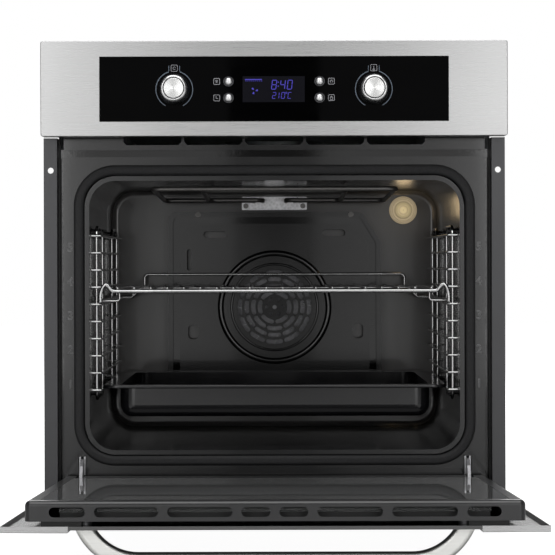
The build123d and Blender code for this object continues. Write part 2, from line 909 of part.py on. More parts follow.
def bottom_element():
    """Tubular loop pressed against the underside of the cavity."""
    z = cavity_floor - sheet - tube_radius
    half = cavity_half - 60.0
    back = cavity_rear + 20.0
    with BuildPart() as element:
        add(
            wire(
                (
                    (-20.0, back, z),
                    (-20.0, cavity_rear - 60.0, z),
                    (-half, cavity_rear - 60.0, z),
                    (-half, 90.0, z),
                    (half, 90.0, z),
                    (half, cavity_rear - 60.0, z),
                    (20.0, cavity_rear - 60.0, z),
                    (20.0, back, z),
                ),
                tube_radius,
                16.0,
            )
        )
    return element


def convection_fan():
    """Stamped impeller with its shaft and retaining nut."""
    front = baffle_front + sheet + 2.0
    with BuildPart() as fan:
        with Locations(Plane(origin=(0, front, fan_z), z_dir=(0, 1, 0))):
            base = (Align.CENTER, Align.CENTER, Align.MIN)
            Cylinder(9.0, 16.0, align=base)
            Cylinder(fan_shaft, cavity_rear + sheet + 55.0 - front, align=base)
        with Locations(Plane(origin=(0, front + fan_depth, fan_z), z_dir=(0, 1, 0))):
            Cylinder(fan_radius, sheet, align=base)
            Cylinder(30.0, 3 * sheet, align=base)
        with Locations(Plane(origin=(0, front + 1.0, fan_z), z_dir=(0, 1, 0))):
            with PolarLocations(fan_radius - 15.0, fan_blades):
                with Locations(Location((0, 0, 0), (0, 0, 20))):
                    Box(28.0, 1.5, fan_depth, align=base)
    return fan


def convection_motor():
    """Fan motor behind the insulation, on three legs fixed to the rear wall."""
    start = cavity_rear + sheet
    base = (Align.CENTER, Align.CENTER, Align.MIN)
    with BuildPart() as motor:
        with Locations(Plane(origin=(0, start + 28.0, fan_z), z_dir=(0, 1, 0))):
            Cylinder(motor_radius, motor_length, align=base)
            with PolarLocations(motor_radius + 4.0, 3, start_angle=90):
                Box(36.0, 14.0, 2.0, align=base)
        with Locations(Plane(origin=(0, start, fan_z), z_dir=(0, 1, 0))):
            with PolarLocations(motor_radius + 14.0, 3, start_angle=90):
                Cylinder(4.0, 29.0, align=base)
            Cylinder(fan_shaft + running_fit, 200.0, mode=Mode.SUBTRACT)
    return motor


def lamp_housing():
    """Lamp socket behind the rear wall."""
    base = (Align.CENTER, Align.CENTER, Align.MIN)
    with BuildPart() as housing:
        with Locations(Plane(origin=(lamp_x, cavity_rear + sheet, lamp_z), z_dir=(0, 1, 0))):
            Cylinder(lamp_radius, 42.0, align=base)
            Cylinder(lamp_radius - 4.0, 40.0, align=base, mode=Mode.SUBTRACT)
            with Locations((0, 0, 24.0)):
                Cylinder(7.0, 18.0, align=base)
                Cylinder(bulb_base, 6.0, align=base, mode=Mode.SUBTRACT)
    return housing


def lamp_bulb():
    with BuildPart() as bulb:
        with Locations(Plane(origin=(lamp_x, cavity_rear + sheet + 30.0, lamp_z), z_dir=(0, -1, 0))):
            Cylinder(bulb_base, 12.0, align=(Align.CENTER, Align.CENTER, Align.MIN))
            with Locations((0, 0, 12.0)):
                Cylinder(6.5, 16.0, align=(Align.CENTER, Align.CENTER, Align.MIN))
            with Locations((0, 0, 28.0)):
                Sphere(6.5)
    return bulb


def lamp_lens():
    """Ribbed glass cover, screwed over the lamp opening."""
    y = cavity_rear
    with BuildPart() as lens:
        with BuildSketch(Plane.XY.offset(lamp_z)):
            with BuildLine():
                Polyline(
                    (lamp_x, y - 13.0),
                    (lamp_x + 8.0, y - 12.4),
                    (lamp_x + 11.4, y - 10.5),
                    (lamp_x + 13.0, y - 8.5),
                    (lamp_x + 15.5, y - 8.5),
                    (lamp_x + 16.8, y - 6.5),
                    (lamp_x + lamp_radius - 1.0, y - 6.5),
                    (lamp_x + lamp_radius, y - 5.5),
                    (lamp_x + lamp_radius, y),
                    (lamp_x + lamp_radius - 5.0, y),
                    (lamp_x + lamp_radius - 8.0, y - 5.0),
                    (lamp_x + 9.0, y - 8.5),
                    (lamp_x, y - 10.5),
                    close=True,
                )
            make_face()
        revolve(axis=Axis((lamp_x, 0, lamp_z), (0, 1, 0)))
    return lens


# ---------------------------------------------------------------- side racks, shelf, tray
def rung_height(level):
    return rung_bottom + level * rung_pitch


rung_rear = cavity_rear - rung_rear_gap
rung_x = cavity_half - rung_inset
post_x = cavity_half - post_inset
post_front = rung_front + rung_radius + post_radius - 0.1
post_rear = rung_rear - rung_radius - post_radius + 0.1
loop_top = rung_height(rung_count - 1) + loop_margin
loop_bottom = rung_bottom - loop_margin
loop_middles = (post_front + post_pitch / 2, post_rear - post_pitch / 2)
rail_x = cavity_half - rail_inset
rail_drop = sqrt((rail_radius + rung_radius + clearance) ** 2 - (rail_x - rung_x) ** 2)
rail_z = rung_height(shelf_rung) + rail_drop
grid_z = rail_z + grid_rise
shelf_rear = baffle_front - shelf_rear_gap
rod_z = grid_z + rail_radius + rod_radius - 0.2
tray_z = rung_height(tray_rung) + rung_radius + clearance
tray_rear = baffle_front - tray_rear_gap
tray_half = cavity_half - tray_side_gap


def rack_support(side):
    """Chromed wire side rack: two upright loops and ten shelf runs."""
    wall_x = side * (cavity_half - 0.8)
    with BuildPart() as rack:
        for near, far in ((post_front, post_front + post_pitch), (post_rear - post_pitch, post_rear)):
            x, mid = side * post_x, (loop_top + loop_bottom) / 2
            for end in (loop_top, loop_bottom):
                corners = ((x, near, mid), (x, near, end), (x, far, end), (x, far, mid))
                add(wire(corners, post_radius, loop_corner))
        for level in range(rung_count):
            z = rung_height(level)
            add(
                wire(
                    (
                        (wall_x, rung_front, z),
                        (side * rung_x, rung_front, z),
                        (side * rung_x, rung_rear, z),
                        (wall_x, rung_rear, z),
                    ),
                    rung_radius,
                    3.0,
                )
            )
    return rack


def wire_shelf():
    """Chromed shelf: side rails, humped front bar, cross rods and raised rear guard."""
    hump_x = rail_x - 7.0
    bar_x = cavity_half - 31.0
    with BuildPart() as shelf:
        for side in (-1, 1):
            with Locations((side * rail_x, shelf_front, rail_z)):
                Sphere(rail_radius + weld_bead)
            # ties from the rail to the outermost rod
            for y in (shelf_front + 34.0, shelf_rear - 60.0):
                add(
                    wire(
                        (
                            (side * rail_x, y, rail_z),
                            (side * (cavity_half - rod_inset), y, rail_z),
                            (side * (cavity_half - rod_inset), y, rod_z - 0.5),
                        ),
                        tie_radius,
                        4.0,
                    )
                )
        with BuildPart(mode=Mode.PRIVATE) as front_bar:
            with BuildLine() as path:
                left = Spline(
                    (-rail_x, shelf_front, rail_z),
                    (-rail_x + 0.9, shelf_front, rail_z + 13.0),
                    (-hump_x, shelf_front, rail_z + hump_rise),
                    (-bar_x - 4.0, shelf_front, grid_z + 2.4),
                    (-bar_x + 6.0, shelf_front, grid_z),
                    tangents=((0, 0, 1), (1, 0, 0)),
                )
                Line(left @ 1, (bar_x - 6.0, shelf_front, grid_z))
                mirror(left, about=Plane.YZ)
            with BuildSketch(Plane(origin=path.wires()[0] @ 0, z_dir=path.wires()[0] % 0)):
                Circle(rail_radius)
            sweep(path=path.wires()[0])
        add(front_bar.part)
        add(
            wire(
                (
                    (-rail_x, shelf_front, rail_z),
                    (-rail_x, shelf_rear, rail_z),
                    (-bar_x, shelf_rear, rail_z),
                    (-bar_x + 12.0, shelf_rear, grid_z),
                    (bar_x - 12.0, shelf_rear, grid_z),
                    (bar_x, shelf_rear, rail_z),
                    (rail_x, shelf_rear, rail_z),
                    (rail_x, shelf_front, rail_z),
                ),
                rail_radius,
                6.0,
            )
        )
        outermost = cavity_half - rod_inset
        for n in range(rod_count):
            x = -outermost + 2 * outermost * n / (rod_count - 1)
            rod((x, shelf_front - 1.5, rod_z), (x, shelf_rear + 1.5, rod_z), rod_radius)
        guard_x = cavity_half - guard_inset
        add(
            wire(
                (
                    (-guard_x, shelf_rear - 1.0, grid_z),
                    (-guard_x, shelf_rear - 1.0, rod_z + guard_rise),
                    (guard_x, shelf_rear - 1.0, rod_z + guard_rise),
                    (guard_x, shelf_rear - 1.0, grid_z),
                ),
                2.0,
                6.0,
            )
        )
    return shelf


def baking_tray():
    """Deep enamelled tray with a flat flange that rides on the side racks."""
    length = tray_rear - tray_front
    mid = (tray_rear + tray_front) / 2
    body_half_width = tray_half - tray_flange
    top = tray_z + tray_rim
    with BuildPart() as tray:
        with BuildSketch(Plane.XY.offset(top)):
            with Locations((0, mid)):
                RectangleRounded(2 * tray_half, length, tray_corner)
        extrude(amount=-tray_rim)
        fillet(tray.faces().filter_by(Axis.Z).edges(), 1.4)
        with BuildSketch(Plane.XY.offset(top)):
            with Locations((0, mid)):
                RectangleRounded(2 * body_half_width, length - 26.0, tray_corner)
        extrude(amount=-tray_depth)
        fillet(tray.faces().sort_by(Axis.Z)[0].edges(), 16.0)
        with BuildPart(mode=Mode.PRIVATE) as well:
            with BuildSketch(Plane.XY.offset(top)):
                with Locations((0, mid)):
                    RectangleRounded(
                        2 * body_half_width - 2 * sheet, length - 26.0 - 2 * sheet, tray_corner - sheet
                    )
            extrude(amount=-(tray_depth - sheet))
            fillet(well.faces().sort_by(Axis.Z)[0].edges(), 16.0 - sheet)
        add(well.part, mode=Mode.SUBTRACT)
    return tray


# ---------------------------------------------------------------- control fascia
def button_places():
    return [
        (side * button_x, front_height - drop, f"{row}_{column}_button")
        for side, column in ((-1, "left"), (1, "right"))
        for drop, row in zip(button_drops, ("upper", "lower"))
    ]


def fascia_steel():
    """Stainless surround, open at the back, with the opening for the black glass."""
    mid = fascia_bottom + fascia_height / 2
    with BuildPart() as fascia:
        with BuildSketch(front_plane(fascia_front)):
            with Locations((0, mid)):
                RectangleRounded(front_width, fascia_height, fascia_corner)
        extrude(amount=-fascia_depth)
        fillet(fascia.faces().sort_by(Axis.Y)[0].edges(), 1.0)
        with BuildSketch(front_plane(fascia_front + sheet)):
            with Locations((0, mid)):
                RectangleRounded(
                    front_width - 2 * sheet, fascia_height - 2 * sheet, fascia_corner - sheet
                )
        extrude(amount=-fascia_depth, mode=Mode.SUBTRACT)
        with BuildSketch(front_plane(fascia_front)):
            with Locations((0, panel_mid)):
                Rectangle(2 * panel_half, panel_height)
        extrude(amount=-2 * sheet, mode=Mode.SUBTRACT)
    return fascia


def fascia_glass():
    with BuildPart() as glass:
        with BuildSketch(front_plane(glass_back)):
            with Locations((0, panel_mid)):
                Rectangle(2 * panel_half, panel_height)
            with Locations((-knob_x, knob_z), (knob_x, knob_z)):
                Circle(bushing_radius, mode=Mode.SUBTRACT)
            for x, z, name in button_places():
                with Locations((x, z)):
                    Circle(bezel_radius, mode=Mode.SUBTRACT)
            with Locations((window_shift, window_z)):
                Rectangle(window_width, window_height, mode=Mode.SUBTRACT)
        extrude(amount=panel_thickness)
    return glass


def display_window():
    with BuildPart() as window:
        with BuildSketch(front_plane(glass_back)):
            with Locations((window_shift, window_z)):
                Rectangle(window_width, window_height)
        extrude(amount=panel_thickness)
    return window


def control_carrier():
    """Moulded carrier behind the black glass, with posts for the circuit board."""
    with BuildPart() as carrier:
        with BuildSketch(front_plane(carrier_back)):
            with Locations((0, panel_mid)):
                Rectangle(2 * (panel_half + carrier_margin), panel_height + 2 * carrier_margin)
        extrude(amount=carrier_thickness)
        with BuildSketch(front_plane(glass_back)):
            with Locations((0, panel_mid)):
                Rectangle(2 * panel_half, panel_height)
        extrude(amount=panel_thickness, mode=Mode.SUBTRACT)
        with BuildSketch(front_plane(carrier_back)):
            with Locations((-knob_x, knob_z), (knob_x, knob_z)):
                Circle(bushing_radius)
            for x, z, name in button_places():
                with Locations((x, z)):
                    Circle(stem_radius + clearance)
            with Locations((window_shift, window_z)):
                Rectangle(window_width - 4.0, window_height - 4.0)
        extrude(amount=carrier_thickness, mode=Mode.SUBTRACT)
        with BuildSketch(front_plane(board_front)):
            with Locations((0, window_z)):
                with GridLocations(board_width - 12.0, board_height - 12.0, 2, 2):
                    Circle(4.0)
        extrude(amount=board_standoff)
    return carrier


def control_board():
    """Circuit board with its display block, push switches and power parts."""
    with BuildPart() as board:
        with BuildSketch(front_plane(board_back)):
            with Locations((0, window_z)):
                Rectangle(board_width, board_height)
        extrude(amount=board_thickness)
        with BuildSketch(front_plane(board_front)):
            with Locations((window_shift, window_z)):
                Rectangle(window_width - 5.0, window_height - 5.0)
        extrude(amount=board_standoff + carrier_thickness - panel_thickness - sheet)
        for x, z, name in button_places():
            with Locations(front_plane(board_front) * Pos(x, z)):
                Cylinder(3.0, 2.0, align=(Align.CENTER, Align.CENTER, Align.MIN))
        for x, wide, deep in board_blocks:
            block((x, x + wide), (board_back, board_back + deep), (window_z - 16.0, window_z + 8.0))
    return board


def button_bezels():
    with BuildPart() as bezels:
        with BuildSketch(front_plane(glass_back)):
            for x, z, name in button_places():
                with Locations((x, z)):
                    Circle(bezel_radius)
                    Circle(button_radius + clearance, mode=Mode.SUBTRACT)
        extrude(amount=panel_thickness + 1.0)
        fillet(bezels.faces().sort_by(Axis.Y)[0:4].edges(), 0.5)
    return bezels


def push_button(x, z):
    """Domed button on a stem that reaches to its switch on the board."""
    base = (Align.CENTER, Align.CENTER, Align.MIN)
    with BuildPart() as button:
        with Locations(front_plane(glass_back - 1.0 - button_travel) * Pos(x, z)):
            Cylinder(button_radius, panel_thickness - 1.0 - button_travel + button_proud, align=base)
        fillet(button.faces().sort_by(Axis.Y)[0].edges(), 2.2)
        tip = board_front - 2.0 - button_travel - 0.1
        with Locations(front_plane(tip) * Pos(x, z)):
            Cylinder(stem_radius, tip - glass_back + 2.5 + button_travel, align=base)
    return button


def rotary_switches():
    """Switch bodies on the carrier, each with a threaded bushing for the spindle."""
    with BuildPart() as switches:
        for side in (-1, 1):
            block(
                (side * knob_x - switch_size / 2, side * knob_x + switch_size / 2),
                (carrier_back, carrier_back + switch_depth),
                (knob_z - switch_size / 2, knob_z + switch_size / 2),
            )
            with Locations(front_plane(carrier_back) * Pos(side * knob_x, knob_z)):
                Cylinder(
                    bushing_radius,
                    carrier_back - glass_front,
                    align=(Align.CENTER, Align.CENTER, Align.MIN),
                )
            with Locations(front_plane(carrier_back + 14.0) * Pos(side * knob_x, knob_z)):
                Cylinder(
                    spindle_radius + running_fit,
                    60.0,
                    align=(Align.CENTER, Align.CENTER, Align.MIN),
                    mode=Mode.SUBTRACT,
                )
    return switches


def knob(side):
    """Turned knob: skirt, waist, rounded rim and a dished centre behind a fine groove."""
    foot = 0.5
    with BuildPart() as body:
        with BuildSketch(Plane.XZ):
            with BuildLine():
                Polyline(
                    (0, foot),
                    (skirt_radius - 0.6, foot),
                    (skirt_radius, foot + 0.8),
                    (skirt_radius - 1.2, foot + 6.0),
                    (knob_radius + 0.6, foot + 7.5),
                    (knob_radius, foot + 9.0),
                    (knob_radius - 0.2, knob_length - 2.4),
                    (knob_radius - 1.0, knob_length - 0.7),
                    (knob_radius - 2.2, knob_length),
                    (knob_radius - 2.8, knob_length - 0.2),
                    (knob_radius - 3.0, knob_length - 1.0),
                    (knob_radius - 3.5, knob_length - 1.0),
                    (knob_radius - 3.7, knob_length - 0.4),
                    (5.0, knob_length - 1.0),
                    (0, knob_length - 1.1),
                    close=True,
                )
            make_face()
        revolve(axis=Axis.Z)
        Cylinder(bushing_radius + 1.0, 2.0, mode=Mode.SUBTRACT)
        Cylinder(spindle_radius, 60.0)
        split(bisect_by=Plane.XY.offset(-20.5), keep=Keep.TOP)
        split(bisect_by=Plane.XY.offset(knob_length), keep=Keep.BOTTOM)
    with BuildPart(front_plane(glass_front) * Pos(side * knob_x, knob_z)) as placed:
        add(body.part)
    return placed


# ---------------------------------------------------------------- door
def door_block(u, v, w, mode=Mode.ADD):
    """Box in the door's own directions: across, up the door and outwards."""
    centre = door_plane * Pos((u[0] + u[1]) / 2, (v[0] + v[1]) / 2, (w[0] + w[1]) / 2)
    with Locations(centre):
        Box(u[1] - u[0], v[1] - v[0], w[1] - w[0], mode=mode)


def door_frame():
    """Enamelled box of the door, with air slots along its top edge and windows in both faces."""
    height = door_top - box_foot
    mid = (door_top + box_foot) / 2
    with BuildPart() as frame:
        with BuildSketch(door_plane.offset(box_outer)):
            with Locations((0, mid)):
                RectangleRounded(2 * box_half, height, box_corner)
        extrude(amount=box_inner - box_outer)
        inner_face = frame.faces().sort_by(Axis((0, 0, 0), door_plane.z_dir))[0]
        fillet(inner_face.edges(), box_corner - 0.5)
        with BuildSketch(door_plane.offset(box_outer - box_wall)):
            with Locations((0, mid)):
                RectangleRounded(2 * (box_half - box_wall), height - 2 * box_wall, box_corner - box_wall)
        extrude(amount=box_inner - box_outer + 2 * box_wall + 2.0, mode=Mode.SUBTRACT)
        # ledge that carries the inner glass
        with BuildSketch(door_plane.offset(box_inner)):
            with Locations((0, (glass_foot + glass_top) / 2)):
                Rectangle(2 * glass_side + 2 * clearance, glass_top - glass_foot + 2 * clearance)
        extrude(amount=inner_glass, mode=Mode.SUBTRACT)
        door_block(
            (-box_half + box_wall, box_half - box_wall),
            (box_foot + box_wall, door_top - box_wall),
            (box_inner + inner_glass, box_inner + inner_glass + box_wall),
        )
        door_block(
            (-middle_side + 12.0, middle_side - 12.0),
            (middle_foot + 12.0, middle_top - 12.0),
            (box_inner - 1.0, box_outer + 1.0),
            mode=Mode.SUBTRACT,
        )
        # air slots in the top edge
        top_edge = door_plane.origin + door_plane.y_dir * door_top
        with BuildSketch(Plane(top_edge, door_plane.x_dir, -door_plane.y_dir)):
            start = -vent_row / 2
            for width in vent_widths:
                with Locations((start + width / 2, vent_level)):
                    SlotOverall(width, vent_height)
                start += width + vent_gap
        extrude(amount=2 * box_wall, both=True, mode=Mode.SUBTRACT)
        # notches for the hinge arms and bores for their pins and the handle screws
        for side in (-1, 1):
            u = sorted((side * (hinge_x - receiver_slot / 2), side * (hinge_x + receiver_slot / 2)))
            door_block(u, (box_foot - 1.0, notch_top), (box_inner - 1.0, -2.0), mode=Mode.SUBTRACT)
            door_block(u, (box_foot - 1.0, arm_eye + 2.0), (-3.0, box_outer + 1.0), mode=Mode.SUBTRACT)
            with Locations(door_plane * Pos(side * handle_root, handle_v, box_outer)):
                Cylinder(fixing_radius, 6.0, mode=Mode.SUBTRACT)
    return frame


def door_inner_glass():
    with BuildPart() as glass:
        door_block((-glass_side, glass_side), (glass_foot, glass_top), (box_inner, box_inner + inner_glass))
    return glass


def door_middle_glass():
    with BuildPart() as glass:
        door_block(
            (-middle_side, middle_side),
            (middle_foot, middle_top),
            (middle_w, middle_w + middle_glass),
        )
    return glass


def glass_seals():
    """Spacer frames on both sides of the middle glass."""
    with BuildPart() as seals:
        for low, high in (
            (box_inner + inner_glass + box_wall, middle_w),
            (middle_w + middle_glass, box_outer - box_wall),
        ):
            with BuildSketch(door_plane.offset(low)):
                with Locations((0, (middle_foot + middle_top) / 2)):
                    Rectangle(2 * middle_side - 2.0, middle_top - middle_foot - 2.0)
                    Rectangle(2 * middle_side - 18.0, middle_top - middle_foot - 18.0, mode=Mode.SUBTRACT)
            extrude(amount=high - low)
    return seals


def door_outer_glass():
    with BuildPart() as glass:
        door_block((-glass_half, glass_half), (skin_foot, door_top), (skin_inner, skin_outer))
        for side in (-1, 1):
            with Locations(door_plane * Pos(side * handle_root, handle_v, skin_inner)):
                Cylinder(fixing_radius, 4 * outer_glass, mode=Mode.SUBTRACT)
    return glass


def side_strip(side):
    """Stainless strip beside the outer glass, hemmed at both edges."""
    edge = front_width / 2
    with BuildPart() as strip:
        door_block(
            sorted((side * glass_half, side * edge)),
            (skin_foot, door_top),
            (skin_inner, strip_outer),
        )
        outer = strip.faces().sort_by(Axis((0, 0, 0), door_plane.z_dir))[-1]
        fillet(outer.edges(), 0.8)
        door_block(
            sorted((side * (glass_half + sheet), side * (edge - sheet))),
            (skin_foot + sheet, door_top - sheet),
            (skin_inner - 1.0, strip_outer - sheet),
            mode=Mode.SUBTRACT,
        )
    return strip


def skin_carriers():
    """Rails between the door box and its outer skin."""
    with BuildPart() as rails:
        for side in (-1, 1):
            door_block(
                sorted((side * (glass_half - 14.0), side * (glass_half + 30.0))),
                (arm_eye + 4.0, door_top - 8.0),
                (box_outer, skin_inner),
            )
            door_block(
                sorted((side * (glass_half + 4.0), side * (glass_half + 30.0))),
                (arm_eye + 4.0, door_top - 8.0),
                (skin_inner, strip_outer - sheet),
            )
            with Locations(door_plane * Pos(side * handle_root, handle_v, skin_inner)):
                Cylinder(9.0, 20.0, mode=Mode.SUBTRACT)
    return rails


def door_handle():
    """Bow handle: straight grip between two arcs that run into the outer glass."""
    rise = handle_radius * (1 - cos(radians(handle_turn)))
    run = handle_radius * sin(radians(handle_turn))
    tail = 14.0
    grip = handle_root - run
    out = skin_outer + rise
    back = (
        -handle_root - tail * cos(radians(handle_turn)),
        skin_outer - tail * sin(radians(handle_turn)),
    )
    plane = Plane(door_plane.origin + door_plane.y_dir * handle_v, door_plane.x_dir, -door_plane.y_dir)
    with BuildPart() as handle:
        with BuildLine(plane) as path:
            first = Line(back, (-handle_root, skin_outer))
            near = JernArc(first @ 1, first % 1, handle_radius, -handle_turn)
            straight = Line(near @ 1, (grip, out))
            far = JernArc(straight @ 1, straight % 1, handle_radius, -handle_turn)
            Line(far @ 1, (-back[0], back[1]))
        with BuildSketch(Plane(origin=path.line @ 0, x_dir=door_plane.y_dir, z_dir=path.line % 0)):
            RectangleRounded(handle_tall, handle_deep, 5.0)
        sweep(path=path.wires()[0])
        split(bisect_by=door_plane.offset(skin_outer), keep=Keep.TOP)
        for side in (-1, 1):
            with Locations(door_plane * Pos(side * handle_root, handle_v, skin_outer)):
                Cylinder(fixing_radius, 24.0, mode=Mode.SUBTRACT)
    return handle


def handle_fixings():
    """Screws of the handle, with a spacer between the door box and the outer glass."""
    base = (Align.CENTER, Align.CENTER, Align.MIN)
    with BuildPart() as fixings:
        for side in (-1, 1):
            with Locations(door_plane * Pos(side * handle_root, handle_v, box_outer)):
                Cylinder(8.0, skin_gap, align=base)
                Cylinder(fixing_radius, skin_gap + 2.0, align=base, mode=Mode.SUBTRACT)
            with Locations(door_plane * Pos(side * handle_root, handle_v, box_outer - box_wall - 3.0)):
                Cylinder(4.5, 3.0, align=base)
                Cylinder(fixing_radius, 3.0 + box_wall + skin_gap + outer_glass + 11.0, align=base)
    return fixings


def hinge_cases():
    """Channels inside the door box that carry the hinge pins and the closing springs."""
    with BuildPart() as cases:
        for side in (-1, 1):
            for cheek in (-1, 1):
                u = sorted(
                    (
                        side * hinge_x + cheek * cheek_inner,
                        side * hinge_x + cheek * (cheek_inner + case_wall),
                    )
                )
                door_block(u, (box_foot + box_wall, case_height), (-11.0, box_outer - box_wall))
            u = (side * hinge_x - cheek_inner, side * hinge_x + cheek_inner)
            door_block(u, (12.0, case_height), (box_outer - box_wall - 1.0, box_outer - box_wall))
            with Locations(Plane(origin=(side * hinge_x, hinge_y, hinge_z), z_dir=(1, 0, 0))):
                Cylinder(pin_radius, 20.0, mode=Mode.SUBTRACT)
    return cases


def hinge_pins():
    length = 2 * (cheek_inner + case_wall)
    with BuildPart() as pins:
        for side in (-1, 1):
            with Locations(Plane(origin=(side * hinge_x, hinge_y, hinge_z), z_dir=(1, 0, 0))):
                Cylinder(pin_radius, length)
    return pins


def hinge_arms():
    """Steel arms hooked in the receivers, each with the eye that the door turns on."""
    rear = frame_y + receiver_depth - 8.0
    top = receiver_top - 3.0
    with BuildPart() as arms:
        for side in (-1, 1):
            with BuildSketch(Plane.YZ.offset(side * hinge_x)):
                with BuildLine():
                    Polyline(
                        (hinge_y - 4.5, hinge_z + 5.0),
                        (hinge_y + 6.0, hinge_z - 3.0),
                        (frame_y - 1.0, receiver_bottom + 3.0),
                        (rear, receiver_bottom + 3.0),
                        (rear, top - 4.0),
                        (rear - 8.0, top),
                        (frame_y - 3.0, top),
                        (hinge_y + 9.0, top - 8.0),
                        close=True,
                    )
                make_face()
                with Locations((hinge_y, hinge_z)):
                    Circle(arm_eye)
            extrude(amount=arm_half, both=True)
            with Locations(Plane(origin=(side * hinge_x, hinge_y, hinge_z), z_dir=(1, 0, 0))):
                Cylinder(pin_radius + running_fit, 20.0, mode=Mode.SUBTRACT)
    return arms


def hinge_receivers():
    """Zinc-plated channels behind the frame that the hinge arms hook into."""
    start = frame_y + sheet
    with BuildPart() as receivers:
        for side in (-1, 1):
            for cheek in (-1, 1):
                u = sorted((side * hinge_x + cheek * arm_half, side * hinge_x + cheek * (arm_half + 2.0)))
                block(u, (start, frame_y + receiver_depth), (receiver_bottom - 2.0, receiver_top + 2.0))
            block(
                (side * hinge_x - arm_half, side * hinge_x + arm_half),
                (frame_y + receiver_depth - 2.0, frame_y + receiver_depth),
                (receiver_bottom - 2.0, receiver_top + 2.0),
            )
    return receivers




def main():
    os.makedirs("parts", exist_ok=True)
    save(base_pan(), "base_pan")
    save(side_panel(-1), "left_side_panel")
    save(side_panel(1), "right_side_panel")
    save(top_panel(), "top_panel")
    save(back_panel(), "back_panel")
    save(insulation(), "insulation")
    save(upper_deck(), "upper_deck")
    save(cooling_fan_housing(), "cooling_fan_housing")
    save(cooling_fan_motor(), "cooling_fan_motor")
    save(cooling_fan_rotor(), "cooling_fan_rotor")
    save(terminal_box(), "terminal_box")
    save(front_frame(), "front_frame")
    save(door_gasket(), "door_gasket")
    save(side_trim(-1), "left_side_trim")
    save(side_trim(1), "right_side_trim")
    save(lower_trim(), "lower_trim")
    save(cavity_liner(), "cavity_liner")
    save(fan_baffle(), "fan_baffle")
    save(cavity_screws(), "cavity_screws")
    save(element_plate(), "element_plate")
    save(grill_element(), "grill_element")
    save(ring_element(), "ring_element")
    save(bottom_element(), "bottom_element")
    save(convection_fan(), "convection_fan")
    save(convection_motor(), "convection_motor")
    save(lamp_housing(), "lamp_housing")
    save(lamp_bulb(), "lamp_bulb")
    save(lamp_lens(), "lamp_lens")
    save(rack_support(-1), "left_rack_support")
    save(rack_support(1), "right_rack_support")
    save(wire_shelf(), "wire_shelf")
    save(baking_tray(), "baking_tray")
    save(fascia_steel(), "fascia_steel")
    save(fascia_glass(), "fascia_glass")
    save(display_window(), "display_window")
    save(control_carrier(), "control_carrier")
    save(control_board(), "control_board")
    save(button_bezels(), "button_bezels")
    for x, z, name in button_places():
        save(push_button(x, z), name)
    save(rotary_switches(), "rotary_switches")
    save(knob(-1), "function_knob")
    save(knob(1), "temperature_knob")
    save(door_frame(), "door_frame")
    save(door_inner_glass(), "door_inner_glass")
    save(door_middle_glass(), "door_middle_glass")
    save(glass_seals(), "glass_seals")
    save(door_outer_glass(), "door_outer_glass")
    save(side_strip(-1), "door_left_strip")
    save(side_strip(1), "door_right_strip")
    save(skin_carriers(), "skin_carriers")
    save(door_handle(), "door_handle")
    save(handle_fixings(), "handle_fixings")
    save(hinge_cases(), "hinge_cases")
    save(hinge_pins(), "hinge_pins")
    save(hinge_arms(), "hinge_arms")
    save(hinge_receivers(), "hinge_receivers")


main()
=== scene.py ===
"""Built-in wall oven with its door open: studio scene, surface materials and printed detail."""

import json
import math

import bmesh
import bpy
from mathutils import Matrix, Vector


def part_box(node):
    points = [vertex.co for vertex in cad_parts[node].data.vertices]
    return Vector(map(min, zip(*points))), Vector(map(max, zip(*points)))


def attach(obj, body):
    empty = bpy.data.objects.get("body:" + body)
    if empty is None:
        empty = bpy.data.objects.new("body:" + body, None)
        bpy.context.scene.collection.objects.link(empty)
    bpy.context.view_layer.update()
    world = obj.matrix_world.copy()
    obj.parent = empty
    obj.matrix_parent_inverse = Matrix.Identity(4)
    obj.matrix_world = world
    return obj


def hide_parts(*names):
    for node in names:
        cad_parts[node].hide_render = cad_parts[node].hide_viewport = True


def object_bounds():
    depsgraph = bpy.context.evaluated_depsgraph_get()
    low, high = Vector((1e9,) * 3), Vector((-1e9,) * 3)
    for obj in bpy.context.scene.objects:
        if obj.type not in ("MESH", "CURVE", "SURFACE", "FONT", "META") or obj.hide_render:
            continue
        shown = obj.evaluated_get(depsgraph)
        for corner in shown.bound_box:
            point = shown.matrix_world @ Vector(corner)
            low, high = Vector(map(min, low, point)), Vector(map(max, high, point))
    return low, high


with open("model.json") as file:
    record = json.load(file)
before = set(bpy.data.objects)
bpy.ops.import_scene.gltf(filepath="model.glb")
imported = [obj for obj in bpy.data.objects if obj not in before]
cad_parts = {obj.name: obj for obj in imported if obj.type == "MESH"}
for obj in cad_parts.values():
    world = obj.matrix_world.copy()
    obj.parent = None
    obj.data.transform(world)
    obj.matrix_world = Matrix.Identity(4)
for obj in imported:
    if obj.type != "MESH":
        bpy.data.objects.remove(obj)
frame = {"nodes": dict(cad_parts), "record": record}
cad_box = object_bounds()

MM = 0.001

# camera, fitted to the photo
CAMERA_PLACE = (0.0, -2.841, 0.313)
CAMERA_LENS = 143.5
CAMERA_SHIFT = (0.0054, -0.0279)
CAMERA_ROLL = math.radians(0.15)

# stage
FLOOR_HALF = 9.0
FLOOR_THICKNESS = 0.02
FLOOR_GAP = 0.002
PLINTH_INSET = 0.03
PLINTH_GAP = 0.0005

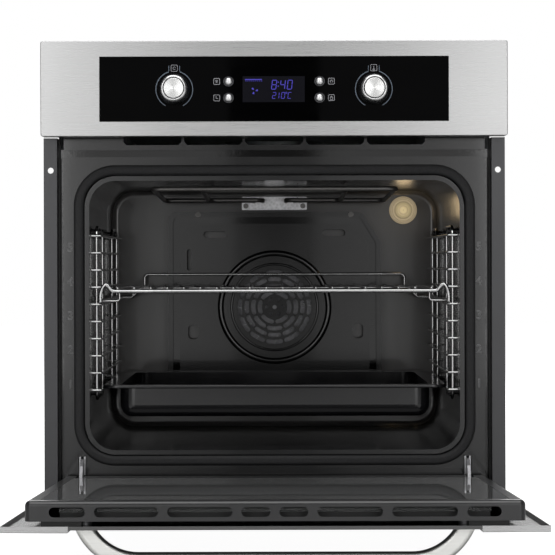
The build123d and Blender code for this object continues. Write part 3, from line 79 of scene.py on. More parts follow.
# studio lights: name, place, target, size and watts
LIT_MIDDLE = (0.0, 0.1, 0.3)
SOFTBOXES = (
    ("left_softbox", (-1.02, -2.9, 0.75), LIT_MIDDLE, (1.0, 2.0), 12.0),
    ("right_softbox", (1.02, -2.9, 0.75), LIT_MIDDLE, (1.0, 2.0), 12.0),
    ("left_front_softbox", (-0.605, -3.6, 0.45), (-0.605, 0.0, 0.45), (0.95, 1.7), 3.0),
    ("right_front_softbox", (0.605, -3.6, 0.45), (0.605, 0.0, 0.45), (0.95, 1.7), 3.0),
    ("top_softbox", (0.0, -1.2, 2.6), (0.0, 0.0, 0.3), (3.0, 2.0), 55.0),
    ("back_softbox", (0.0, 3.0, 2.0), (0.0, 0.5, 0.3), (2.4, 1.6), 60.0),
)

# where painted light and shade, and the glass's ground edge, begin: a painted lighter rear wall
# from the liner's rear; painted shade in the baffle's and frame's channels and on the side
# sheets' front flanges, and the ground edge, from those nodes' front edges
LINER_REAR_DEPTH = 0.016
BAFFLE_CHANNEL_DEPTH = 0.0074
FRAME_CHANNEL_DEPTH = 0.008
SIDE_SHADE_DEPTH = 0.0538
GROUND_EDGE_DEPTH = 0.0018

# shelf rods, from the box of the shelf: outermost rod, front end and axis height
ROD_COUNT = 20
ROD_INSET = 0.0254
ROD_START = 0.0014
ROD_BELOW_GUARD = 0.018

# shelf-level numbers: in from the front frame's edges and up the height of the rack supports
LEVEL_COUNT = 5
LEVEL_INSET = 0.0133
LEVEL_FACE_DEPTH = 0.0035
FIRST_LEVEL_RISE = 0.0217
LAST_LEVEL_DROP = 0.029
NUMBER_HEIGHT = 0.0155
NUMBER_STROKE = 0.0005

# control prints in millimetres, from the middle of their knob or button
RING_RADIUS = 23.4
TICK_X, TICK_LOW, TICK_HIGH = 6.9, 23.4, 30.0
KNOB_SIGN = (0.0, 27.0)
BUTTON_SIGN_OFFSET = 15.0

# printed marks stand this far off the surface under them
INK = 0.00006


# ---------------------------------------------------------------- materials
def new_material(name, colour, roughness, metallic=0.0, **sockets):
    """A principled material; the other sockets go by name with _ for a space."""
    material = bpy.data.materials.new(name)
    material.use_nodes = True
    shader = material.node_tree.nodes["Principled BSDF"]
    shader.inputs["Base Color"].default_value = (*colour, 1.0)
    shader.inputs["Roughness"].default_value = roughness
    shader.inputs["Metallic"].default_value = metallic
    for socket, value in sockets.items():
        shader.inputs[socket.replace("_", " ")].default_value = value
    return material


def shader_of(material):
    return material.node_tree.nodes["Principled BSDF"]


def add_node(material, kind, inputs=(), **settings):
    """A new node with its settings, and its input values or links by number or name."""
    node = material.node_tree.nodes.new(kind)
    for key, value in settings.items():
        setattr(node, key, value)
    for key, value in dict(inputs).items():
        if isinstance(value, bpy.types.NodeSocket):
            material.node_tree.links.new(value, node.inputs[key])
        else:
            node.inputs[key].default_value = value
    return node


def place_of(material, stretch=(1.0, 1.0, 1.0), centre=(0.0, 0.0, 0.0)):
    """The surface point in metres from a centre, stretched along each axis."""
    coordinate = add_node(material, "ShaderNodeTexCoord").outputs["Object"]
    moved = add_node(
        material, "ShaderNodeVectorMath", {0: coordinate, 1: centre}, operation="SUBTRACT"
    ).outputs[0]
    return add_node(
        material, "ShaderNodeVectorMath", {0: moved, 1: stretch}, operation="MULTIPLY"
    ).outputs[0]


def noise(material, scale, stretch=(1.0, 1.0, 1.0), detail=3.0, roughness=0.5):
    place = place_of(material, stretch)
    node = add_node(
        material,
        "ShaderNodeTexNoise",
        {"Vector": place, "Scale": scale, "Detail": detail, "Roughness": roughness},
    )
    return node.outputs[0]


def cells(material, scale, feature="F1"):
    place = place_of(material)
    node = add_node(
        material, "ShaderNodeTexVoronoi", {"Vector": place, "Scale": scale}, feature=feature
    )
    return node.outputs["Distance"]


def to_range(material, value, low, high, from_low=0.0, from_high=1.0):
    node = add_node(
        material,
        "ShaderNodeMapRange",
        {0: value, 1: from_low, 2: from_high, 3: low, 4: high},
    )
    return node.outputs[0]


def mixed(material, factor, first, second):
    """A colour between two, by a factor from 0 to 1."""
    node = add_node(material, "ShaderNodeMix", data_type="RGBA")
    tree = material.node_tree
    tree.links.new(factor, node.inputs[0])
    for socket, colour in ((node.inputs[6], first), (node.inputs[7], second)):
        if isinstance(colour, bpy.types.NodeSocket):
            tree.links.new(colour, socket)
        else:
            socket.default_value = (*colour, 1.0)
    return node.outputs[2]


def connect(material, output, socket):
    material.node_tree.links.new(output, shader_of(material).inputs[socket])


def rough_detail(material, value, low, high, from_low=0.3, from_high=0.7):
    connect(material, to_range(material, value, low, high, from_low, from_high), "Roughness")


def colour_detail(material, value, dark, light, from_low=0.3, from_high=0.7):
    factor = to_range(material, value, 0.0, 1.0, from_low, from_high)
    connect(material, mixed(material, factor, dark, light), "Base Color")


def bumped(material, value, distance, strength=1.0):
    bump = add_node(
        material,
        "ShaderNodeBump",
        {"Height": value, "Distance": distance, "Strength": strength},
    )
    connect(material, bump.outputs[0], "Normal")


def shade(colour, factor):
    return tuple(min(1.0, channel * factor) for channel in colour)


def brushed_metal(name, colour, roughness, stretch, depth=0.000003):
    """Metal with fine parallel brush lines; the stretch is small along the lines."""
    material = new_material(name, colour, roughness, 1.0)
    lines = noise(material, 1.0, stretch, detail=4.0, roughness=0.6)
    broad = noise(material, 5.0, detail=2.0)
    both = add_node(
        material, "ShaderNodeMath", {0: lines, 1: broad}, operation="ADD"
    ).outputs[0]
    colour_detail(material, both, shade(colour, 0.93), shade(colour, 1.05), 0.7, 1.3)
    rough_detail(material, lines, roughness - 0.03, roughness + 0.05)
    bumped(material, lines, depth)
    return material


def enamel(name, colour, low, high, coat=0.0):
    """Glass enamel: a soft orange-peel surface with faint clouding."""
    material = new_material(name, colour, low, 0.0, Coat_Weight=coat, Coat_Roughness=0.05)
    peel = noise(material, 420.0, detail=2.0)
    cloud = noise(material, 9.0, detail=3.0)
    colour_detail(material, cloud, shade(colour, 0.8), shade(colour, 1.25))
    rough_detail(material, cloud, low, high)
    bumped(material, peel, 0.00003)
    return material


def deeper_than(material, edge):
    """0 in front of a depth along Y and 1 behind it."""
    depth = add_node(material, "ShaderNodeSeparateXYZ", {0: place_of(material)}).outputs[1]
    return to_range(material, depth, 0.0, 1.0, edge - 0.001, edge + 0.001)


def light_and_shade_enamel(name, colour, rough, edge, painted_deep_tone, deep_rough):
    """Enamel whose colour and gloss change behind a depth along Y; the colour behind is painted
    shade where it is darker, in recessed channels, and painted light where it is lighter, on the
    liner's rear wall.
    """
    material = enamel(name, colour, rough[0], rough[1], 0.4)
    behind = deeper_than(material, edge)
    shader = shader_of(material)
    near = shader.inputs["Base Color"].links[0].from_socket
    # behind the depth the colour is painted: painted shade where it is darker, painted light
    # where it is lighter
    connect(material, mixed(material, behind, near, painted_deep_tone), "Base Color")
    rough_near = shader.inputs["Roughness"].links[0].from_socket
    node = add_node(material, "ShaderNodeMix", {0: behind, 2: rough_near, 3: deep_rough})
    connect(material, node.outputs[0], "Roughness")
    return material


def coated_metal(name, colour, roughness, metallic, spangle=90.0):
    """Zinc-coated or painted sheet with broad spangles and handling marks."""
    material = new_material(name, colour, roughness, metallic)
    grain = cells(material, spangle)
    marks = noise(material, 30.0, detail=6.0, roughness=0.65)
    colour_detail(material, grain, shade(colour, 0.82), shade(colour, 1.12), 0.1, 0.8)
    rough_detail(material, marks, roughness - 0.08, roughness + 0.12)
    bumped(material, marks, 0.00004)
    return material


def polished_metal(name, colour, low, high):
    """Plated wire or trim, bright with slightly dulled patches."""
    material = new_material(name, colour, low, 1.0)
    haze = noise(material, 60.0, detail=4.0)
    rough_detail(material, haze, low, high)
    colour_detail(material, haze, shade(colour, 0.9), shade(colour, 1.05))
    return material


def plastic(name, colour, roughness, scale=1800.0):
    """Moulded plastic or rubber with a fine grain."""
    material = new_material(name, colour, roughness)
    grain = noise(material, scale, detail=3.0)
    rough_detail(material, grain, roughness - 0.07, roughness + 0.09)
    colour_detail(material, noise(material, 40.0), shade(colour, 0.88), shade(colour, 1.15))
    bumped(material, grain, 0.00003)
    return material


def clear_glass(name, colour, transmission, roughness=0.0):
    """Toughened glass pane with a trace of wiping haze."""
    material = new_material(
        name, colour, roughness, 0.0, Transmission_Weight=transmission, IOR=1.5
    )
    haze = noise(material, 14.0, (1.0, 3.0, 3.0), detail=5.0, roughness=0.6)
    rough_detail(material, haze, roughness, roughness + 0.05)
    return material


def smeared_glass(name, edge=None):
    """Black glass with faint smears; a free edge in front of a depth along Y is ground grey."""
    material = new_material(name, (0.0006, 0.0006, 0.0006), 0.02, IOR=1.14)
    smear = noise(material, 11.0, (1.0, 1.0, 2.5), detail=6.0, roughness=0.65)
    rough_detail(material, smear, 0.015, 0.07)
    colour_detail(material, smear, (0.0004, 0.0004, 0.0005), (0.0008, 0.0008, 0.0010))
    if edge is None:
        return material
    behind = deeper_than(material, edge)
    shader = shader_of(material)
    polish = shader.inputs["Roughness"].links[0].from_socket
    rough = add_node(material, "ShaderNodeMix", {0: behind, 2: 0.5, 3: polish})
    connect(material, rough.outputs[0], "Roughness")
    black = shader.inputs["Base Color"].links[0].from_socket
    ground = mixed(material, noise(material, 700.0), (0.10, 0.10, 0.10), (0.15, 0.15, 0.15))
    connect(material, mixed(material, behind, ground, black), "Base Color")
    return material


def distance_from(material, centre, plane=(1.0, 0.0, 1.0)):
    """How far a surface point is from an axis along Y, in metres."""
    place = place_of(material, plane, centre)
    node = add_node(material, "ShaderNodeVectorMath", {0: place}, operation="LENGTH")
    return node.outputs["Value"]


def spun_metal(name, centre, colour, face_radius, rim_radius):
    """Lathe-turned knob: spun face, a groove darkened as painted shade, bright rim and a dark
    skirt.
    """
    material = new_material(name, colour, 0.25, 1.0, Anisotropic=0.75)
    radius = distance_from(material, centre)
    rings = add_node(
        material,
        "ShaderNodeTexNoise",
        {"W": radius, "Scale": 5200.0, "Detail": 3.0},
        noise_dimensions="1D",
    ).outputs[0]
    outward = place_of(material, (1.0, 0.0, 1.0), centre)
    world = add_node(
        material,
        "ShaderNodeVectorTransform",
        {0: outward},
        vector_type="VECTOR",
        convert_from="OBJECT",
        convert_to="WORLD",
    ).outputs[0]
    connect(material, world, "Tangent")
    groove_width, blend = 0.0011, 0.0002
    groove_end = face_radius + groove_width
    groove = to_range(material, radius, 0.0, 1.0, face_radius, face_radius + blend)
    rim = to_range(material, radius, 0.0, 1.0, groove_end, groove_end + blend)
    skirt = to_range(material, radius, 0.0, 1.0, rim_radius, rim_radius + blend)
    face = mixed(material, rings, shade(colour, 0.94), colour)
    # painted shade: the groove is coloured near black for the shade that falls in it
    face = mixed(material, groove, face, (0.03, 0.03, 0.032))
    face = mixed(material, rim, face, (0.86, 0.86, 0.86))
    face = mixed(material, skirt, face, (0.10, 0.10, 0.105))
    connect(material, face, "Base Color")
    rough_detail(material, rings, 0.24, 0.28)
    return material


def woven(name, colour, pitch):
    """Braided glass-fibre cord of the door seal."""
    material = new_material(name, colour, 0.75)
    waves = add_node(
        material,
        "ShaderNodeTexWave",
        {"Vector": place_of(material), "Scale": 1.0 / pitch, "Distortion": 1.5},
        wave_type="BANDS",
        bands_direction="DIAGONAL",
    ).outputs[0]
    colour_detail(material, waves, shade(colour, 0.6), shade(colour, 1.5), 0.2, 0.8)
    rough_detail(material, noise(material, 700.0), 0.6, 0.85)
    bumped(material, waves, 0.0002)
    return material


def glowing(name, colour, strength):
    """Lit display segment, a little uneven."""
    material = new_material(name, shade(colour, 0.3), 0.4)
    unevenness = noise(material, 300.0)
    shader = shader_of(material)
    lit = mixed(material, unevenness, shade(colour, 0.8), colour)
    material.node_tree.links.new(lit, shader.inputs["Emission Color"])
    shader.inputs["Emission Strength"].default_value = strength
    return material


def lamp_glass(name, centre):
    """Ribbed lamp lens, brightest over the bulb."""
    material = new_material(name, (0.30, 0.26, 0.18), 0.15, 0.0, Coat_Weight=0.4)
    radius = distance_from(material, centre)
    rib_width = 0.0031
    rings = add_node(
        material, "ShaderNodeMath", {0: radius, 1: rib_width}, operation="PINGPONG"
    ).outputs[0]
    glow = to_range(material, radius, 1.0, 0.0, 0.002, 0.016)
    inner = mixed(material, glow, (0.60, 0.48, 0.30), (1.0, 0.84, 0.44))
    ribs = to_range(material, rings, 0.35, 1.0, 0.0, 0.0016)
    lit = mixed(material, ribs, (0.33, 0.26, 0.17), inner)
    shader = shader_of(material)
    material.node_tree.links.new(lit, shader.inputs["Emission Color"])
    shader.inputs["Emission Strength"].default_value = 0.39
    bumped(material, cells(material, 330.0), 0.0004)
    return material


def fibres(name, colour):
    """Pressed mineral wool, drawn out in the plane of the mat."""
    material = new_material(name, colour, 0.95)
    tangle = noise(material, 160.0, (1.0, 1.0, 5.0), detail=6.0, roughness=0.7)
    colour_detail(material, tangle, shade(colour, 0.6), shade(colour, 1.2))
    rough_detail(material, tangle, 0.85, 1.0)
    bumped(material, tangle, 0.0015)
    return material


def centre_of(node):
    low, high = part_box(node)
    return tuple((low + high) / 2)


def front_of(node):
    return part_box(node)[0].y


def shaded_front_sheet(name, colour, paint, edge):
    """Zinc-coated side sheet whose front flange, up to a depth from the front, is coloured dark
    and matte as painted shade for the gap between the side trim and the frame.
    """
    material = coated_metal(name, colour, 0.42, 0.9)
    behind = deeper_than(material, edge)
    shader = shader_of(material)
    base = shader.inputs["Base Color"].links[0].from_socket
    # painted shade: in front of the depth the flange takes the dark colour
    connect(material, mixed(material, behind, paint, base), "Base Color")
    connect(material, to_range(material, behind, 0.0, 0.9), "Metallic")
    return material


STEEL = (0.48, 0.48, 0.48)
MATERIALS = {
    "galvanised": coated_metal("galvanised_sheet", (0.55, 0.56, 0.57), 0.42, 0.9),
    "wool": fibres("mineral_wool", (0.62, 0.58, 0.44)),
    "black_plastic": plastic("moulded_black", (0.018, 0.018, 0.018), 0.5),
    "motor_metal": coated_metal("motor_laminations", (0.22, 0.22, 0.23), 0.45, 0.8, 400.0),
    "enamel": enamel("black_enamel", (0.010, 0.010, 0.0105), 0.20, 0.30, 0.5),
    "gasket": woven("door_seal_braid", (0.012, 0.012, 0.013), 0.0022),
    "trim_metal": brushed_metal(
        "dark_trim", (0.085, 0.085, 0.088), 0.38, (900.0, 900.0, 12.0)
    ),
    "stainless": brushed_metal(
        "brushed_stainless", STEEL, 0.28, (14.0, 1600.0, 1600.0), 0.0000012
    ),
    "zinc": coated_metal("bright_zinc", (0.55, 0.55, 0.56), 0.34, 1.0, 260.0),
    "chrome": polished_metal("plated_wire", (0.56, 0.56, 0.56), 0.12, 0.20),
    "element_metal": coated_metal("element_sheath", (0.17, 0.165, 0.16), 0.40, 0.8, 700.0),
    "black_glass": smeared_glass("black_glass"),
    "tinted_glass": clear_glass("inner_pane", (0.36, 0.365, 0.365), 0.7),
    "clear_glass": clear_glass("middle_pane", (0.80, 0.86, 0.84), 0.95),
    "display": new_material("display_window", (0.006, 0.006, 0.009), 0.15, IOR=1.2),
    "bulb": glowing("lamp_bulb_glass", (1.0, 0.78, 0.42), 6.0),
    "lens_glass": lamp_glass("lamp_lens_glass", centre_of("lamp_lens")),
    "board": plastic("circuit_board", (0.03, 0.16, 0.07), 0.4, 900.0),
    "handle_metal": brushed_metal(
        "satin_handle", (0.92, 0.92, 0.89), 0.38, (10.0, 300.0, 300.0), 0.0
    ),
    "seal": plastic("silicone_seal", (0.03, 0.03, 0.03), 0.6),
    "impeller": coated_metal("fan_blades", (0.13, 0.13, 0.135), 0.35, 0.9, 300.0),
}
HINGE_STEEL = coated_metal("hinge_steel", (0.30, 0.30, 0.31), 0.48, 0.9, 260.0)
# painted shade: the side sheets' front flanges are dark for the shade in the gap between trim and
# frame
SIDE_SHEET = shaded_front_sheet(
    "side_sheet_painted_shade", (0.55, 0.56, 0.57), (0.012, 0.012, 0.012),
    front_of("left_side_panel") + SIDE_SHADE_DEPTH,
)
# painted highlight: the level numbers' enamel is lighter than the frame's, for the light their
# edges catch
NUMBER_HIGHLIGHT_ENAMEL = enamel("number_enamel_painted_highlight", (0.16, 0.16, 0.162), 0.25, 0.35, 0.8)
BUTTON_METAL = polished_metal("button_metal", (0.82, 0.82, 0.82), 0.34, 0.40)
RING_METAL = polished_metal("ring_metal", (0.09, 0.09, 0.095), 0.22, 0.30)
KNOB_COLOUR = (0.95, 0.95, 0.94)
KNOB_FACE, KNOB_RIM = 0.0125, 0.0168
SPECIAL = {
    "left_side_panel": SIDE_SHEET,
    "right_side_panel": SIDE_SHEET,
    "door_frame": enamel("door_enamel", (0.016, 0.016, 0.017), 0.26, 0.34, 0.3),
    "hinge_arms": HINGE_STEEL,
    "handle_fixings": HINGE_STEEL,
    "door_outer_glass": smeared_glass(
        "door_glass", front_of("door_outer_glass") + GROUND_EDGE_DEPTH
    ),
    # painted light: the liner's rear wall is coloured lighter than the rest of the cavity enamel
    "cavity_liner": light_and_shade_enamel(
        "cavity_enamel_painted_light", (0.010, 0.010, 0.0105), (0.14, 0.20),
        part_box("cavity_liner")[1].y - LINER_REAR_DEPTH, (0.105, 0.102, 0.100), 0.18,
    ),
    # painted shade: the baffle is coloured darker behind its front face, in its recessed channels
    "fan_baffle": light_and_shade_enamel(
        "baffle_enamel_painted_shade", (0.003, 0.003, 0.0033), (0.13, 0.18),
        front_of("fan_baffle") + BAFFLE_CHANNEL_DEPTH, (0.002, 0.002, 0.002), 0.05,
    ),
    # painted shade: the frame is coloured darker behind its front face, in its channels and
    # grooves
    "front_frame": light_and_shade_enamel(
        "frame_enamel_painted_shade", (0.008, 0.008, 0.0085), (0.14, 0.22),
        front_of("front_frame") + FRAME_CHANNEL_DEPTH, (0.002, 0.002, 0.002), 0.05,
    ),
    "baking_tray": enamel("tray_enamel", (0.006, 0.006, 0.007), 0.12, 0.22, 0.4),
    "function_knob": spun_metal(
        "function_knob_metal", centre_of("function_knob"), KNOB_COLOUR, KNOB_FACE, KNOB_RIM
    ),
    "temperature_knob": spun_metal(
        "temperature_knob_metal", centre_of("temperature_knob"), KNOB_COLOUR, KNOB_FACE, KNOB_RIM
    ),
}


def dress_cad_nodes():
    """Gives every carried-over solid its finish."""
    for row in frame["record"]["subparts"]:
        node = row["node"]
        material = SPECIAL.get(node) or MATERIALS[row["material_slot"]]
        solid = frame["nodes"][node]
        solid.data.materials.clear()
        solid.data.materials.append(material)


# ---------------------------------------------------------------- printed marks
class Marks:
    """Thin raised strokes on a face that looks along -Y, drawn in millimetres from an origin."""

    def __init__(self, name, origin, body, material, slot):
        self.mesh = bmesh.new()
        self.name = name
        self.origin = origin
        self.body = body
        self.material = material
        self.slot = slot

    def corner(self, x, z, layer):
        place = (self.origin[0] + x * MM, self.origin[1] - layer * INK, self.origin[2] + z * MM)
        return self.mesh.verts.new(place)

    def stroke(self, points, width, closed=False):
        """One ribbon with mitred corners."""
        points = [Vector(point) for point in points]
        count = len(points)
        rows = []
        for index, point in enumerate(points):
            before = points[index - 1] if (index or closed) else None
            after = points[(index + 1) % count] if (index < count - 1 or closed) else None
            ways = [w.normalized() for w in (
                (point - before) if before is not None else None,
                (after - point) if after is not None else None,
            ) if w is not None]
            way = sum(ways, Vector((0, 0))).normalized()
            side = Vector((-way.y, way.x))
            reach = width / 2 / max(0.4, side.dot(Vector((-ways[0].y, ways[0].x))))
            left, right = point + side * reach, point - side * reach
            rows.append([
                self.corner(left.x, left.y, 1), self.corner(right.x, right.y, 1),
                self.corner(right.x, right.y, 0), self.corner(left.x, left.y, 0),
            ])
        last = count if closed else count - 1
        for index in range(last):
            near, far = rows[index], rows[(index + 1) % count]
            for edge in range(4):
                nxt = (edge + 1) % 4
                self.mesh.faces.new((near[edge], far[edge], far[nxt], near[nxt]))
        if not closed:
            self.mesh.faces.new(rows[0])
            self.mesh.faces.new(list(reversed(rows[-1])))

    def plate(self, points):
        """One filled outline."""
        top = [self.corner(x, z, 1) for x, z in points]
        foot = [self.corner(x, z, 0) for x, z in points]
        self.mesh.faces.new(top)
        self.mesh.faces.new(list(reversed(foot)))
        for index in range(len(points)):
            nxt = (index + 1) % len(points)
            self.mesh.faces.new((top[index], foot[index], foot[nxt], top[nxt]))

    def arc(self, centre, radius, start, end, width, steps=40, closed=False):
        self.stroke(arc_points(centre, radius, start, end, steps, closed), width, closed)

    def box(self, centre, half, width, corner):
        """A rounded-square outline."""
        points = []
        reach = half - corner
        for quarter, (across, up) in enumerate(((1, 1), (-1, 1), (-1, -1), (1, -1))):
            pivot = (centre[0] + across * reach, centre[1] + up * reach)
            start = 90.0 * quarter
            points += arc_points(pivot, corner, start, start + 90.0, 5, False)
        self.stroke(points, width, closed=True)

    def finish(self):
        bmesh.ops.recalc_face_normals(self.mesh, faces=self.mesh.faces)
        data = bpy.data.meshes.new(self.name)
        self.mesh.to_mesh(data)
        self.mesh.free()
        piece = bpy.data.objects.new(self.name, data)
        bpy.context.scene.collection.objects.link(piece)
        data.materials.append(self.material)
        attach(piece, self.body)
        return piece


def arc_points(centre, radius, start, end, steps, closed):
    """Points on an arc, in degrees anticlockwise from the right."""
    count = steps if closed else steps + 1
    return [
        (
            centre[0] + radius * math.cos(math.radians(start + (end - start) * n / steps)),
            centre[1] + radius * math.sin(math.radians(start + (end - start) * n / steps)),
        )
        for n in range(count)
    ]


SEGMENTS = {
    "0": "abcdef", "1": "bc", "2": "abged", "4": "fgbc", "8": "abcdefg", "C": "adef",
}


def display_figure(marks, figure, x, z, width, height, thick, lean=0.12):
    """One leaning seven-segment figure from its lower left corner."""
    gap = thick * 0.35
    ends = {
        "a": ((gap, height), (width - gap, height)),
        "b": ((width, height - gap), (width, height / 2 + gap)),
        "c": ((width, height / 2 - gap), (width, gap)),
        "d": ((gap, 0), (width - gap, 0)),
        "e": ((0, gap), (0, height / 2 - gap)),
        "f": ((0, height / 2 + gap), (0, height - gap)),
        "g": ((gap, height / 2), (width - gap, height / 2)),
    }
    for name in SEGMENTS[figure]:
        points = [(x + px + lean * pz, z + pz) for px, pz in ends[name]]
        marks.stroke(points, thick)


# display, in millimetres from the window's lower left corner: signs and their left edges
CLOCK_FIGURES = (("8", 36.6), ("4", 47.6), ("0", 56.6))
CLOCK_BASE = 16.5
COLON_DOTS = (19.7, 24.7)
HEAT_FIGURES = (("2", 37.6), ("1", 41.8), ("0", 49.0), ("C", 57.4))
HEAT_BASE = 4.7
DEGREE_SIGN = (55.6, 11.9)
FAN_HUB = (15.0, 14.5)
FAN_TURNS = (130.0, 10.0, 250.0)


def display_marks():
    """Clock, temperature, heater bar and fan sign behind the window."""
    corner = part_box("display_window")[0]
    lit = glowing("display_blue", (0.075, 0.055, 0.66), 0.5)
    clock = Marks("display_clock", corner, "chassis", lit, "display")
    for figure, x in CLOCK_FIGURES:
        display_figure(clock, figure, x, CLOCK_BASE, 5.6, 11.4, 0.95)
    for z in COLON_DOTS:
        clock.plate([(44.6, z), (45.9, z), (46.1, z + 1.3), (44.8, z + 1.3)])
    clock.finish()
    heat = Marks("display_temperature", corner, "chassis", lit, "display")
    for figure, x in HEAT_FIGURES:
        display_figure(heat, figure, x, HEAT_BASE, 4.0, 7.6, 0.7)
    heat.box(DEGREE_SIGN, 0.8, 0.5, 0.3)
    heat.finish()
    signs = Marks("display_signs", corner, "chassis", lit, "display")
    signs.stroke([(3.0, 28.9), (24.5, 28.9)], 1.1)
    for n in range(9):
        x = 3.6 + n * 2.5
        signs.stroke([(x, 27.1), (x + 1.2, 27.1)], 0.8)
    for turn in FAN_TURNS:
        tip = arc_points(FAN_HUB, 4.4, turn - 16.0, turn + 16.0, 6, False)
        root = arc_points(FAN_HUB, 1.8, turn + 14.0, turn - 26.0, 3, False)
        signs.plate(list(reversed(tip + root)))
    signs.finish()


def knob_marks(name, front, ink, paint):
    """The printed ring round a knob, with its gap, ticks and sign."""
    middle = centre_of(f"{name}_knob")
    origin = (middle[0], front, middle[2])
    marks = Marks(f"{name}_ring_print", origin, "chassis", ink, "black_glass")
    for start, end in ((107.0, 242.0), (298.0, 433.0)):
        marks.arc((0.0, 0.0), RING_RADIUS, start, end, 1.1, 60)
    for way in (-1, 1):
        marks.stroke([(way * TICK_X, TICK_LOW), (way * TICK_X, TICK_HIGH)], 0.8)
    marks.finish()
    sign = Marks(f"{name}_sign_print", origin, "chassis", paint, "black_glass")
    sign.box(KNOB_SIGN, 4.0, 0.55, 1.3)
    if name == "function":
        sign.arc(KNOB_SIGN, 1.6, 20.0, 330.0, 0.6, 16)
    else:
        x, z = KNOB_SIGN
        sign.stroke([(x, z - 2.4), (x, z + 2.2)], 0.7)
        sign.arc((x, z - 2.1), 1.1, 0.0, 360.0, 0.6, 12, True)
    sign.finish()


def button_marks(front, paint):
    """A small framed sign beside each button, away from the display."""
    marks = Marks("button_sign_print", (0.0, front, 0.0), "chassis", paint, "black_glass")
    for side, label in ((-1, "left"), (1, "right")):
        for row in ("upper", "lower"):
            middle = centre_of(f"{row}_{label}_button")
            x = middle[0] / MM + side * BUTTON_SIGN_OFFSET
            z = middle[2] / MM
            marks.box((x, z), 3.8, 0.6, 1.2)
            if side < 0 and row == "upper":
                marks.stroke([(x - 1.8, z + 1.2), (x + 1.8, z + 1.2)], 0.6)
                marks.stroke([(x - 1.8, z - 0.6), (x + 1.8, z - 0.6)], 0.6)
                marks.stroke([(x, z + 2.2), (x, z - 1.8)], 0.6)
            elif side < 0:
                marks.stroke([(x - 0.8, z + 2.2), (x - 0.8, z - 0.6), (x + 1.6, z - 0.6)], 0.6)
            elif row == "upper":
                marks.arc((x, z), 1.7, -60.0, 240.0, 0.6, 14)
                marks.stroke([(x, z), (x, z + 2.0)], 0.6)
            else:
                marks.arc((x, z + 0.4), 1.3, 0.0, 180.0, 0.6, 8)
                marks.box((x, z - 0.9), 1.5, 0.6, 0.3)
    marks.finish()


def level_numbers():
    """Raised shelf-level numbers on both sides of the front frame, in a lighter enamel that is a
    painted highlight on their raised strokes.
    """
    frame_low, frame_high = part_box("front_frame")
    rack_low, rack_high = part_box("left_rack_support")
    x = frame_high.x - LEVEL_INSET
    y = frame_low.y + LEVEL_FACE_DEPTH
    first = rack_low.z + FIRST_LEVEL_RISE
    step = (rack_high.z - LAST_LEVEL_DROP - first) / (LEVEL_COUNT - 1)
    for side, label in ((-1, "left"), (1, "right")):
        for level in range(1, LEVEL_COUNT + 1):
            name = f"{label}_level_{level}"
            curve = bpy.data.curves.new(name, "FONT")
            curve.body = str(level)
            curve.size = NUMBER_HEIGHT
            curve.align_x = "CENTER"
            curve.align_y = "CENTER"
            curve.bevel_depth = NUMBER_STROKE
            curve.bevel_resolution = 2
            curve.fill_mode = "NONE"
            text = bpy.data.objects.new("text", curve)
            bpy.context.scene.collection.objects.link(text)
            bpy.context.view_layer.update()
            graph = bpy.context.evaluated_depsgraph_get()
            data = bpy.data.meshes.new_from_object(text.evaluated_get(graph))
            bpy.data.objects.remove(text)
            piece = bpy.data.objects.new(name, data)
            bpy.context.scene.collection.objects.link(piece)
            piece.location = (side * x, y, first + (level - 1) * step)
            piece.rotation_euler = (math.pi / 2, 0, 0)
            data.materials.clear()
            data.materials.append(NUMBER_HIGHLIGHT_ENAMEL)
            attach(piece, "chassis")


# ---------------------------------------------------------------- turned pieces
# profiles in millimetres: radius and distance forward of the face they stand on
KNOB_PROFILE = (
    (0, -20.0), (3.0, -20.0), (3.0, 2.0), (18.0, 2.0), (19.4, 0.5), (19.9, 1.1), (19.4, 3.2),
    (18.9, 5.6), (18.0, 7.1), (17.2, 8.1), (16.9, 10.0), (16.7, 20.0), (16.6, 23.0), (16.2, 24.6),
    (15.5, 25.5), (14.8, 25.8), (14.0, 25.6), (13.7, 25.2), (13.6, 24.6), (12.6, 24.6),
    (12.5, 25.1), (12.2, 25.3), (6.0, 25.15), (0, 25.1),
)
BUTTON_PROFILE = (
    (0, -10.0), (1.5, -10.0), (1.5, -1.5), (4.55, -1.5), (4.55, 0.5), (4.45, 1.1), (4.1, 1.7),
    (3.4, 2.2), (2.4, 2.55), (1.2, 2.72), (0, 2.78),
)
RING_PROFILE = (
    (4.75, -3.8), (6.55, -3.8), (6.55, 0.4), (6.35, 0.75), (5.9, 0.85), (5.3, 0.7), (4.9, 0.3),
    (4.75, 0.0),
)
ROD_END_PROFILE = (
    (0, -1.0), (1.55, -1.0), (1.65, 0.0), (1.5, 0.5), (1.1, 0.95), (0.6, 1.22), (0, 1.3),
)
# an edge turning more than this stays sharp
CREASE = math.radians(32.0)


